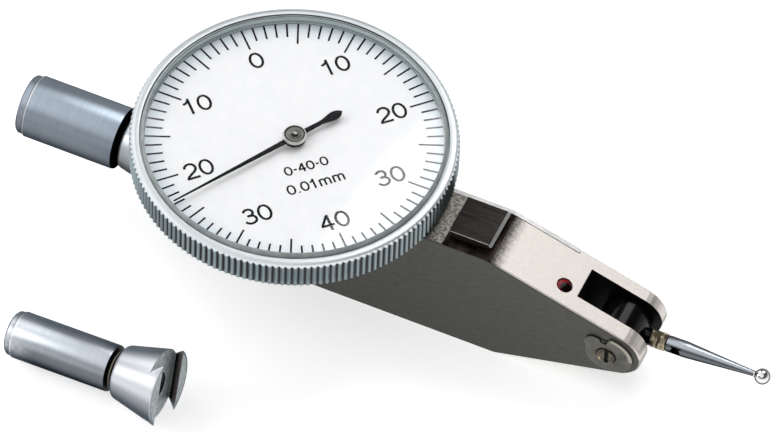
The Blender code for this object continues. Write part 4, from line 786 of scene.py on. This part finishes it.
def print_text(words, place, height, stroke):
    """Printed figures in mm on the dial, centred on a place and upright towards nought."""
    outline = bpy.data.curves.new("printed", 'CURVE')
    outline.dimensions = '3D'
    outline.bevel_depth = stroke / 2 * MM
    outline.bevel_resolution = 2
    outline.use_fill_caps = True
    reach = -sum(FIGURES[sign][0] for sign in words) / 2
    for sign in words:
        width, strokes = FIGURES[sign]
        middle = reach + width / 2
        for points in strokes:
            line = outline.splines.new('POLY')
            line.points.add(len(points) - 1)
            for point, (across, along) in zip(line.points, points):
                point.co = ((middle + across) * height * MM, along * height * MM, 0.0, 1.0)
        reach += width
    printed = bpy.data.objects.new("printed", outline)
    bpy.context.collection.objects.link(printed)
    take([printed])
    bpy.ops.object.convert(target='MESH')
    printed = bpy.context.active_object
    printed.scale = (1.0, 1.0, PRINT_FLATNESS)
    settle(printed, (place[0] * MM, place[1] * MM, PRINT_HEIGHT * MM - INK_THICKNESS / 2 * MM),
           (0.0, 0.0, math.radians(ZERO_ANGLE - 90.0)))
    return printed


NUMBERS = (("0", -9.45, 9.44), ("10", -13.15, 0.05), ("20", -8.77, -9.02), ("30", 0.62, -12.35),
           ("40", 9.55, -9.21), ("30", 12.82, 0.0), ("20", 9.0, 9.09), ("10", -0.33, 12.9))
numbers = join([print_text(words, (across, along), height=2.52, stroke=0.34)
                for words, across, along in NUMBERS], "dial_numbers")
dress(numbers, ink_material, "bezel", "dial")
small_print = join([print_text("0.01mm", (5.07, -4.85), height=1.52, stroke=0.25),
                    print_text("0-40-0", (2.92, -3.0), height=1.40, stroke=0.24)],
                   "dial_small_print")
dress(small_print, ink_material, "bezel", "dial")

# Pointer. A thin black painted needle with a leaf-shaped tail, pressed with its
# turned hub on the end of the centre arbor.
POINTER_ANGLE = math.radians(239.1)
POINTER_LEVEL = 21.61
pointer_side = [(17.9, 0.07), (9.0, 0.20), (1.2, 0.33), (0.6, 1.05), (-0.6, 1.05), (-1.3, 0.34),
                (-4.0, 0.27), (-4.7, 0.41), (-5.5, 0.60), (-6.2, 0.61), (-6.7, 0.42), (-7.1, 0.03)]
other_side = [(across, -along) for across, along in pointer_side[::-1]]
pointer = plate("black_pointer", pointer_side + other_side, thickness=0.18, edge_width=0.02)
settle(pointer, (0.0, 0.0, POINTER_LEVEL * MM), (0.0, 0.0, POINTER_ANGLE))
paint_material, tree, shader = blank_material("black_pointer_paint", {"Specular IOR Level": 0.06})
marks = grinding(tree, 1800.0, 1.2)
tone = two_tones(marks["Lines"], (0.003, 0.003, 0.004), (0.010, 0.010, 0.012))
surface(shader, tone, marks["Blotches"], (0.38, 0.55))
dress(pointer, paint_material, "pointer", "pointer", "pointer")

hub = turned("pointer_hub_cap", [
    (0.42, 22.16), (0.50, 22.24), (0.78, 22.27), (0.86, 22.22), (1.16, 22.22), (1.24, 22.27),
    (1.34, 22.26), (1.44, 22.17), (1.48, 22.04), (1.48, 21.90), (0.42, 21.88)], 64, closed=True)
settle(hub)
hub_material, tree, shader = blank_material("turned_hub_steel", {"Metallic": 0.9})
marks = turning(tree, 5200.0, 900.0)
# A painted highlight runs round the cap's rounded outer edge, and a painted ring of shade lies
# inside it, over the recess's outer wall.
hub_rim_highlight = rise(marks["Radius"], 1.27 * MM, 1.34 * MM, smooth=False)
recess_ring_shade = rise(marks["Radius"], 1.06 * MM, 1.17 * MM, smooth=False)
tone = two_tones(marks["Rings"], (0.085, 0.080, 0.070), (0.22, 0.205, 0.18))
tone = mixed(recess_ring_shade, tone, (0.022, 0.016, 0.013))
tone = mixed(hub_rim_highlight, tone, (0.72, 0.71, 0.68))
surface(shader, tone, marks["Clouds"], (0.26, 0.44), marks["Rings"], 0.3, 0.015)
dress(hub, hub_material, "pointer", "steel", "pointer_hub")
# The black skirt under the cap is the pointer's boss, and it is also a dark piece standing for the
# shadow under the hub.
hub_skirt = turned("black_hub_skirt", [
    (0.42, 21.26), (1.30, 21.26), (1.36, 21.32), (1.38, 21.86), (0.42, 21.86)], 64, closed=True)
settle(hub_skirt)
dress(hub_skirt, paint_material, "pointer", "pointer")

arbor_material, tree, shader = blank_material("dark_arbor_end", {"Metallic": 0.9})
marks = turning(tree, 9000.0, 2500.0)
tone = two_tones(marks["Clouds"], (0.012, 0.011, 0.010), (0.05, 0.047, 0.04))
glint = box_zone(tree, (-0.42, 0.04, 21.9), (0.14, 0.46, 23.0), 0.25)
surface(shader, mixed(glint, tone, (0.90, 0.90, 0.88)), marks["Clouds"], (0.18, 0.32))
coat(arbor_material, "centre_arbor")

# Crystal. A clear domed window of even thickness, pressed into the bezel; its
# sloping outer edge is ground and shows as a grey band in front of the dial.
DOME_RADIUS = 18.46
DOME_EDGE = 22.46
DOME_RISE = 0.77
DOME_STEPS = 12
CRYSTAL_THICKNESS = 0.3
CAP_SHARE = 0.02
dome = []
under = []
for step in range(DOME_STEPS + 1):
    share = max(1.0 - step / DOME_STEPS, CAP_SHARE)
    lift = DOME_EDGE + DOME_RISE * (1.0 - share * share)
    dome.append((DOME_RADIUS * share, lift))
    under.append((DOME_RADIUS * share, lift - CRYSTAL_THICKNESS))
crystal = turned("domed_crystal", under[::-1] + [(18.74, 21.80), (18.78, 21.86), (18.76, 22.06)]
                 + dome, 200)
settle(crystal, angle=40.0)
crystal_material, tree, shader = blank_material("clear_crystal", {
    "IOR": 1.42, "Transmission Weight": 1.0})
haze = grinding(tree, 60.0, 1.0)
surface(shader, (0.97, 0.99, 1.0), haze["Lines"], (0.04, 0.09))
shadow_ray = add_node(tree, "LightPath", {}).outputs["Is Shadow Ray"]
mixed_surface(tree, shadow_ray, shader, add_node(tree, "BsdfTransparent", {}))
dress(crystal, crystal_material, "bezel", "crystal", "crystal")

ground_edge = turned("ground_crystal_edge", [
    (18.86, 21.72), (18.90, 21.76), (18.90, 22.02), (18.87, 22.08), (18.56, 22.485),
    (18.49, 22.51), (18.47, 22.48), (18.80, 22.06), (18.80, 21.72)], 200, closed=True)
settle(ground_edge, angle=40.0)
edge_material, tree, shader = blank_material("ground_crystal_edge", {})
marks = turning(tree, 9000.0, 700.0)
tone = two_tones(marks["Clouds"], (0.33, 0.385, 0.38), (0.47, 0.52, 0.515))
surface(shader, tone, marks["Rings"], (0.30, 0.50), marks["Rings"], 0.2, 0.008)
dress(ground_edge, edge_material, "bezel", "crystal")

# Stylus. A glossy black knuckle turns on the pivot pin inside the fork, and a
# brass socket holds the tapered steel contact point with its hard ball.
STYLUS_TURN = (0.0, math.pi / 2 - math.radians(1.5), 0.0)
PIN_TURN = (-math.pi / 2, 0.0, 0.0)
knuckle_material, tree, shader = blank_material("glossy_black_knuckle", {"Specular IOR Level": 0.18})
marks = grinding(tree, 1200.0, 1.3)
tone = two_tones(marks["Blotches"], (0.002, 0.0015, 0.002), (0.006, 0.005, 0.006))
surface(shader, tone, marks["Blotches"], (0.10, 0.22))
coat(knuckle_material, "lever_arm", "pivot_pin", "clutch_washer")
drum = turned("stylus_knuckle_drum", [
    (0.62, -1.80), (3.10, -1.80), (3.20, -1.70), (3.20, 1.94), (3.10, 2.04), (0.62, 2.04)], 96,
    closed=True)
settle(drum, PIVOT * MM, PIN_TURN)
neck = turned("stylus_knuckle_neck", [
    (0.9, 2.2), (1.02, 2.3), (1.02, 3.20), (1.08, 3.30), (1.08, 3.92), (1.0, 3.98),
    (0.02, 3.98)], 48)
settle(neck, PIVOT * MM, STYLUS_TURN)
dress(neck, knuckle_material, "stylus", "knuckle")
dress(drum, knuckle_material, "stylus", "knuckle", "stylus_knuckle")
collar = turned("lever_collar", [
    (0.62, -2.12), (2.92, -2.12), (3.02, -2.04), (3.02, -1.88), (0.62, -1.88)], 96, closed=True)
settle(collar, PIVOT * MM, PIN_TURN)
dress(collar, knuckle_material, "lever", "knuckle")

SOCKET_FLATS = 10
socket = turned("stylus_brass_socket", [
    (1.02, 4.02), (1.12, 4.10), (1.12, 5.98), (1.04, 6.08), (0.90, 6.12)], SOCKET_FLATS)
settle(socket, PIVOT * MM, STYLUS_TURN)
socket_material, tree, shader = blank_material("dull_brass_socket", {"Metallic": 0.95})
marks = grinding(tree, (2600.0, 900.0, 900.0), 2.0)
tone = two_tones(marks["Lines"], (0.05, 0.040, 0.025), (0.42, 0.36, 0.25), 0.38, 0.62)
surface(shader, tone, marks["Blotches"], (0.28, 0.46), marks["Lines"], 0.35, 0.02)
dress(socket, socket_material, "stylus", "brass", "stylus_socket")

BALL_CENTRE = 18.716
BALL_RADIUS = 1.0
BALL_STEPS = 24
WRENCH_HOLE = 0.66
WRENCH_HOLE_PLACE = 7.5
ball = [(BALL_RADIUS * math.sin(math.pi * step / BALL_STEPS),
         BALL_CENTRE - BALL_RADIUS * math.cos(math.pi * step / BALL_STEPS))
        for step in range(3, BALL_STEPS)]
ball.append((0.02, BALL_CENTRE + BALL_RADIUS))
contact = turned("contact_point_with_ball", [
    (0.92, 6.16), (1.01, 6.22), (1.03, 6.34), (1.03, 8.50), (1.015, 8.80), (0.68, 13.2),
    (0.41, 16.9), (0.37, 17.5), (0.37, ball[0][1])] + ball, 48)
bpy.ops.object.select_all(action='DESELECT')
bpy.ops.mesh.primitive_cylinder_add(vertices=24, radius=WRENCH_HOLE * MM, depth=4.0 * MM,
                                    location=(0.0, 0.0, WRENCH_HOLE_PLACE * MM),
                                    rotation=(math.pi / 2, 0.0, 0.0))
cut(contact, bpy.context.active_object)
settle(contact, PIVOT * MM, STYLUS_TURN)


def turned_away(tree, start, end):
    """A mask that rises where a round flank turns away from the eye."""
    return rise(add_node(tree, "LayerWeight", {"Blend": 0.5}).outputs["Facing"], start, end)


def flank_shade(shader, flank, tone, shade):
    """The colour of round metal under one soft lamp: it and its shine fall on the flank."""
    fill(shader, {"Specular Tint": mixed(flank, (1.0, 1.0, 1.0), (0.25, 0.25, 0.25))})
    return mixed(flank, tone, shade, 'MULTIPLY')


# The way that the lower front flank of a lying stem faces.
UNDERSIDE = (0.0, -0.81, -0.586)


def painted_underside_shade(tone, share, start, end):
    """A colour with painted shade on the lower front flank of a stem, where it lies close to the
    table.
    """
    normal = add_node(tone.id_data, "TexCoord", {}).outputs["Normal"]
    lowered = rise(vector_node('DOT_PRODUCT', normal, UNDERSIDE), start, end)
    return mixed(lowered, tone, (share, share, share), 'MULTIPLY')


contact_material, tree, shader = blank_material("polished_contact_steel", {"Metallic": 1.0})
marks = grinding(tree, (4200.0, 700.0, 700.0), 1.2)
ball_zone = box_zone(tree, (61.95, -9.0, 0.0), (70.0, 9.0, 20.0), 0.01)
# The wrench hole is painted black as the shade inside it.
wrench_hole_shade = box_zone(tree, (51.14, -0.86, 7.72), (52.46, 0.86, 9.08), 0.06)
tone = two_tones(marks["Blotches"], (0.46, 0.50, 0.54), (0.53, 0.57, 0.61))
tone = mixed(ball_zone, painted_underside_shade(tone, 0.30, -0.15, 0.25), (0.90, 0.91, 0.92))
tone = flank_shade(shader, turned_away(tree, 0.14, 0.64), tone, (0.15, 0.15, 0.15))
polish = rise(minus(marks["Blotches"], ball_zone), -0.5, 0.6, 0.03, 0.34, smooth=False)
fill(shader, {"Base Color": mixed(wrench_hole_shade, tone, (0.006, 0.006, 0.007)), "Roughness": polish})
dress(contact, contact_material, "stylus", "contact", "contact_point")

# Clamping stem. A turned cone-shaped head slides on the rear dovetail, and the
# hardened blue-grey shaft screws into it to clamp it; the neck leaves a gap, painted black as shade.
STEM_END = Vector((-36.2, 0.0, 8.9))
STEM_TURN = (0.0, math.pi / 2, 0.0)
stem = turned("clamping_stem_shaft", [
    (3.30, 0.0), (3.62, 0.06), (3.80, 0.28), (3.80, 0.92), (3.86, 1.0), (3.94, 1.02), (4.0, 1.10),
    (4.0, 12.94), (3.92, 13.16), (3.70, 13.2), (2.3, 13.2), (2.3, 13.76), (1.4, 13.76),
    (1.4, 19.0)], 96)
settle(stem, STEM_END * MM, STEM_TURN)
stem_material, tree, shader = blank_material("blue_grey_stem_steel", {"Specular IOR Level": 0.0})
marks = grinding(tree, (2600.0, 260.0, 260.0), 0.8)
# The neck and the shaft's end face are painted black and not metallic, as the shade in the gap.
stem_neck_shade = box_zone(tree, (-23.10, -9.0, -9.0), (-14.0, 9.0, 30.0), 0.005)
# A painted highlight line runs round the shaft just past the step near its round end.
end_highlight_line = box_zone(tree, (-35.12, -9.0, -9.0), (-34.96, 9.0, 30.0), 0.03)
tone = two_tones(marks["Lines"], (0.41, 0.475, 0.555), (0.485, 0.555, 0.64))
tone = mixed(times(marks["Blotches"], 0.35), tone, (0.50, 0.58, 0.675))
tone = painted_underside_shade(mixed(end_highlight_line, tone, (0.95, 0.96, 0.98)), 0.47, 0.2, 0.55)
tone = flank_shade(shader, turned_away(tree, 0.0, 0.62), tone, (0.5, 0.5, 0.5))
STEM_METAL = 0.9
fill(shader, {"Metallic": minus(STEM_METAL, times(stem_neck_shade, STEM_METAL))})
surface(shader, mixed(stem_neck_shade, tone, (0.004, 0.004, 0.004)), marks["Blotches"], (0.33, 0.43),
        marks["Lines"], 0.08, 0.01)
dress(stem, stem_material, "stem", "stem", "stem_shaft")


def clamp_head(name, small_end, wide_end, bore):
    """A turned cone along Z with its wide end up and a round hole through it."""
    return turned(name, [
        (bore, small_end), (3.12, small_end), (3.30, small_end + 0.05), (3.42, small_end + 0.2),
        (3.50, small_end + 0.42), (4.92, wide_end - 0.30), (4.98, wide_end - 0.14),
        (4.95, wide_end - 0.03), (4.86, wide_end), (bore, wide_end)], 128, closed=True)


CUTTER_HEIGHT = 3.0
CUTTER_LENGTH = 14.0
FLANK_ANGLE = math.radians(30.0)


def mill_dovetail(piece, floor_level, floor_width, turn):
    """Mill an undercut slot into the wide end, down to a floor."""
    bpy.ops.object.select_all(action='DESELECT')
    bpy.ops.mesh.primitive_cube_add(size=1.0)
    cutter = bpy.context.active_object
    cutter.scale = (floor_width * MM, CUTTER_LENGTH * MM, CUTTER_HEIGHT * MM)
    bpy.ops.object.transform_apply(location=True, rotation=True, scale=True)
    top_width = floor_width - 2 * CUTTER_HEIGHT * math.tan(FLANK_ANGLE)
    pick(cutter, lambda place: place.z > 0.0)
    bpy.ops.object.mode_set(mode='EDIT')
    bpy.ops.mesh.select_mode(type='VERT')
    bpy.ops.transform.resize(value=(top_width / floor_width, 1.0, 1.0))
    bpy.ops.object.mode_set(mode='OBJECT')
    cutter.location = (0.0, 0.0, (floor_level + CUTTER_HEIGHT / 2) * MM)
    cutter.rotation_euler = (0.0, 0.0, turn)
    cut(piece, cutter)


head = clamp_head("clamping_head", small_end=13.8, wide_end=20.7, bore=1.6)
mill_dovetail(head, floor_level=19.15, floor_width=6.1, turn=0.0)
settle(head, STEM_END * MM, STEM_TURN)
head_material, tree, shader = blank_material("turned_head_chrome", {"Metallic": 0.95})
marks = grinding(tree, (2800.0, 240.0, 240.0), 0.7)
tone = two_tones(marks["Lines"], (0.62, 0.67, 0.72), (0.74, 0.78, 0.82))
tone = painted_underside_shade(tone, 0.5, 0.1, 0.55)
tone = flank_shade(shader, turned_away(tree, 0.05, 0.65), tone, (0.4, 0.4, 0.4))
surface(shader, tone, marks["Blotches"], (0.30, 0.42), marks["Lines"], 0.1, 0.01)
dress(head, head_material, "clamp", "head", "clamp_head")

# Spare clamping stem. A second, thinner stem with its head lies on the table in
# front; its dovetail slot is open to the right and shows the tapped hole.
SPARE_END = Vector((-24.4, -28.9, 2.9505))
SPARE_SLOPE = 5.2806847
SPARE_HEADING = -2.9
SPARE_TURN = (0.0, math.radians(90.0 - SPARE_SLOPE), math.radians(SPARE_HEADING))
THREAD_PITCH = 0.5
THREAD_CREST, THREAD_ROOT = 1.62, 1.98
spare_head = clamp_head("spare_clamping_head", small_end=15.1, wide_end=21.6, bore=1.45)
mill_dovetail(spare_head, floor_level=20.3, floor_width=7.1, turn=math.radians(63.0))
thread = []
for step in range(9):
    height = 15.9 + THREAD_PITCH * step
    thread += [(THREAD_CREST, height), (THREAD_ROOT, height + THREAD_PITCH / 2)]
cut(spare_head, turned("tap", thread + [(THREAD_CREST, 20.25), (2.0, 20.5)], 64))
settle(spare_head, SPARE_END * MM, SPARE_TURN)

spare_shaft = turned("spare_clamping_stem", [
    (2.38, 0.0), (2.62, 0.05), (2.78, 0.20), (2.84, 0.36), (2.84, 0.80), (2.90, 0.90),
    (2.97, 0.93), (3.0, 1.02), (3.0, 13.86), (2.95, 14.03), (2.80, 14.1), (2.0, 14.1),
    (2.0, 14.34), (2.55, 14.40), (2.62, 14.52), (2.55, 14.64), (2.0, 14.70), (2.0, 15.05),
    (1.35, 15.05), (1.35, 17.7)], 96)
settle(spare_shaft, SPARE_END * MM, SPARE_TURN)

# Places on the material run along the spare's axis from its round end, and out from it.
spare_material, tree, shader = blank_material("bright_spare_chrome", {"Specular IOR Level": 0.1})
spare_axis = (Matrix.Rotation(SPARE_TURN[2], 3, 'Z') @ Matrix.Rotation(SPARE_TURN[1], 3, 'Y')
              @ Vector((0.0, 0.0, 1.0)))
place = object_place(tree)
axis_place = minus(vector_node('DOT_PRODUCT', place, spare_axis),
                   SPARE_END.dot(spare_axis) * MM)
from_end = vector_node('SUBTRACT', place, SPARE_END * MM)
axis_distance = vector_node('LENGTH', vector_node('CROSS_PRODUCT', from_end, spare_axis))


def axis_band(low, high):
    """The mask of a band across the spare, between two places on its axis."""
    return times(beyond(axis_place, low), within(axis_place, high))


NECK_START, HEAD_START = 14.02, 15.06
SHADE_FLOOR = 20.36
head_part = beyond(axis_place, HEAD_START)
spare_neck_shade = axis_band(NECK_START, HEAD_START)
collar_part = axis_band(14.42, 14.64)
step_highlight = axis_band(0.98, 1.16)
milled = times(beyond(axis_place, 20.2), within(axis_distance, 4.62))
spare_slot_shade = times(milled, axis_band(SHADE_FLOOR, 21.54))
hole_thread_shade = times(axis_band(15.6, 20.27), within(axis_distance, 2.02))

marks = grinding(tree, (2400.0, 260.0, 260.0), 0.6)
mottle = grinding(tree, 1500.0, 1.6)["Lines"]
tone = two_tones(marks["Lines"], (0.60, 0.65, 0.71), (0.68, 0.73, 0.79))
tone = mixed(head_part, tone, (0.90, 0.92, 0.95))
tone = mixed(head_part, painted_underside_shade(tone, 0.27, 0.2, 0.52),
             painted_underside_shade(tone, 0.56, 0.28, 0.55))
# The neck between shaft and head is painted nearly black and less metallic, as the shade in the gap.
tone = mixed(spare_neck_shade, tone, (0.018, 0.015, 0.013))
tone = mixed(collar_part, tone, (0.26, 0.225, 0.185))
near_end = rise(axis_place, 1.2 * MM, 4.6 * MM, 1.0, 0.0)
tone = mixed(times(near_end, mottle), tone, (0.78, 0.80, 0.82))
tone = mixed(milled, tone, two_tones(mottle, (0.40, 0.46, 0.47), (0.62, 0.68, 0.69)))
# The milled slot is painted from black at its floor to a dull brown-grey at its top, as painted
# shade deep in the slot.
slot_height = rise(axis_place, SHADE_FLOOR * MM, 21.50 * MM, smooth=False)
tone = mixed(spare_slot_shade, tone,
             two_tones(slot_height, (0.004, 0.003, 0.003), (0.26, 0.21, 0.21), 0.3, 1.0))
# The tapped hole is painted dark, with lighter bands along its threads, as painted shade inside the
# hole.
threads = add_node(tree, "TexWave", {"Vector": place, "Scale": 100.0, "Distortion": 0.6},
                   bands_direction='X')
tone = mixed(hole_thread_shade, tone, two_tones(threads.outputs["Fac"], (0.008, 0.008, 0.009),
                                      (0.22, 0.24, 0.25), 0.5, 0.9))
# A painted highlight line runs round the shaft just past the step near its round end.
tone = mixed(step_highlight, tone, (0.95, 0.96, 0.97))
round_flank = minus(turned_away(tree, 0.06, 0.62), milled)
tone = flank_shade(shader, round_flank, tone, (0.30, 0.33, 0.36))
SPARE_METAL = 0.95
matt = math_node('MAXIMUM', times(milled, 0.6), times(spare_neck_shade, 0.9))
fill(shader, {"Metallic": minus(SPARE_METAL, matt)})
surface(shader, tone, marks["Blotches"], (0.30, 0.40), marks["Lines"], 0.08, 0.01)
dress(spare_head, spare_material, "spare_clamp", "head", "spare_clamp_head")
dress(spare_shaft, spare_material, "spare_stem", "spare_stem", "spare_stem_shaft")
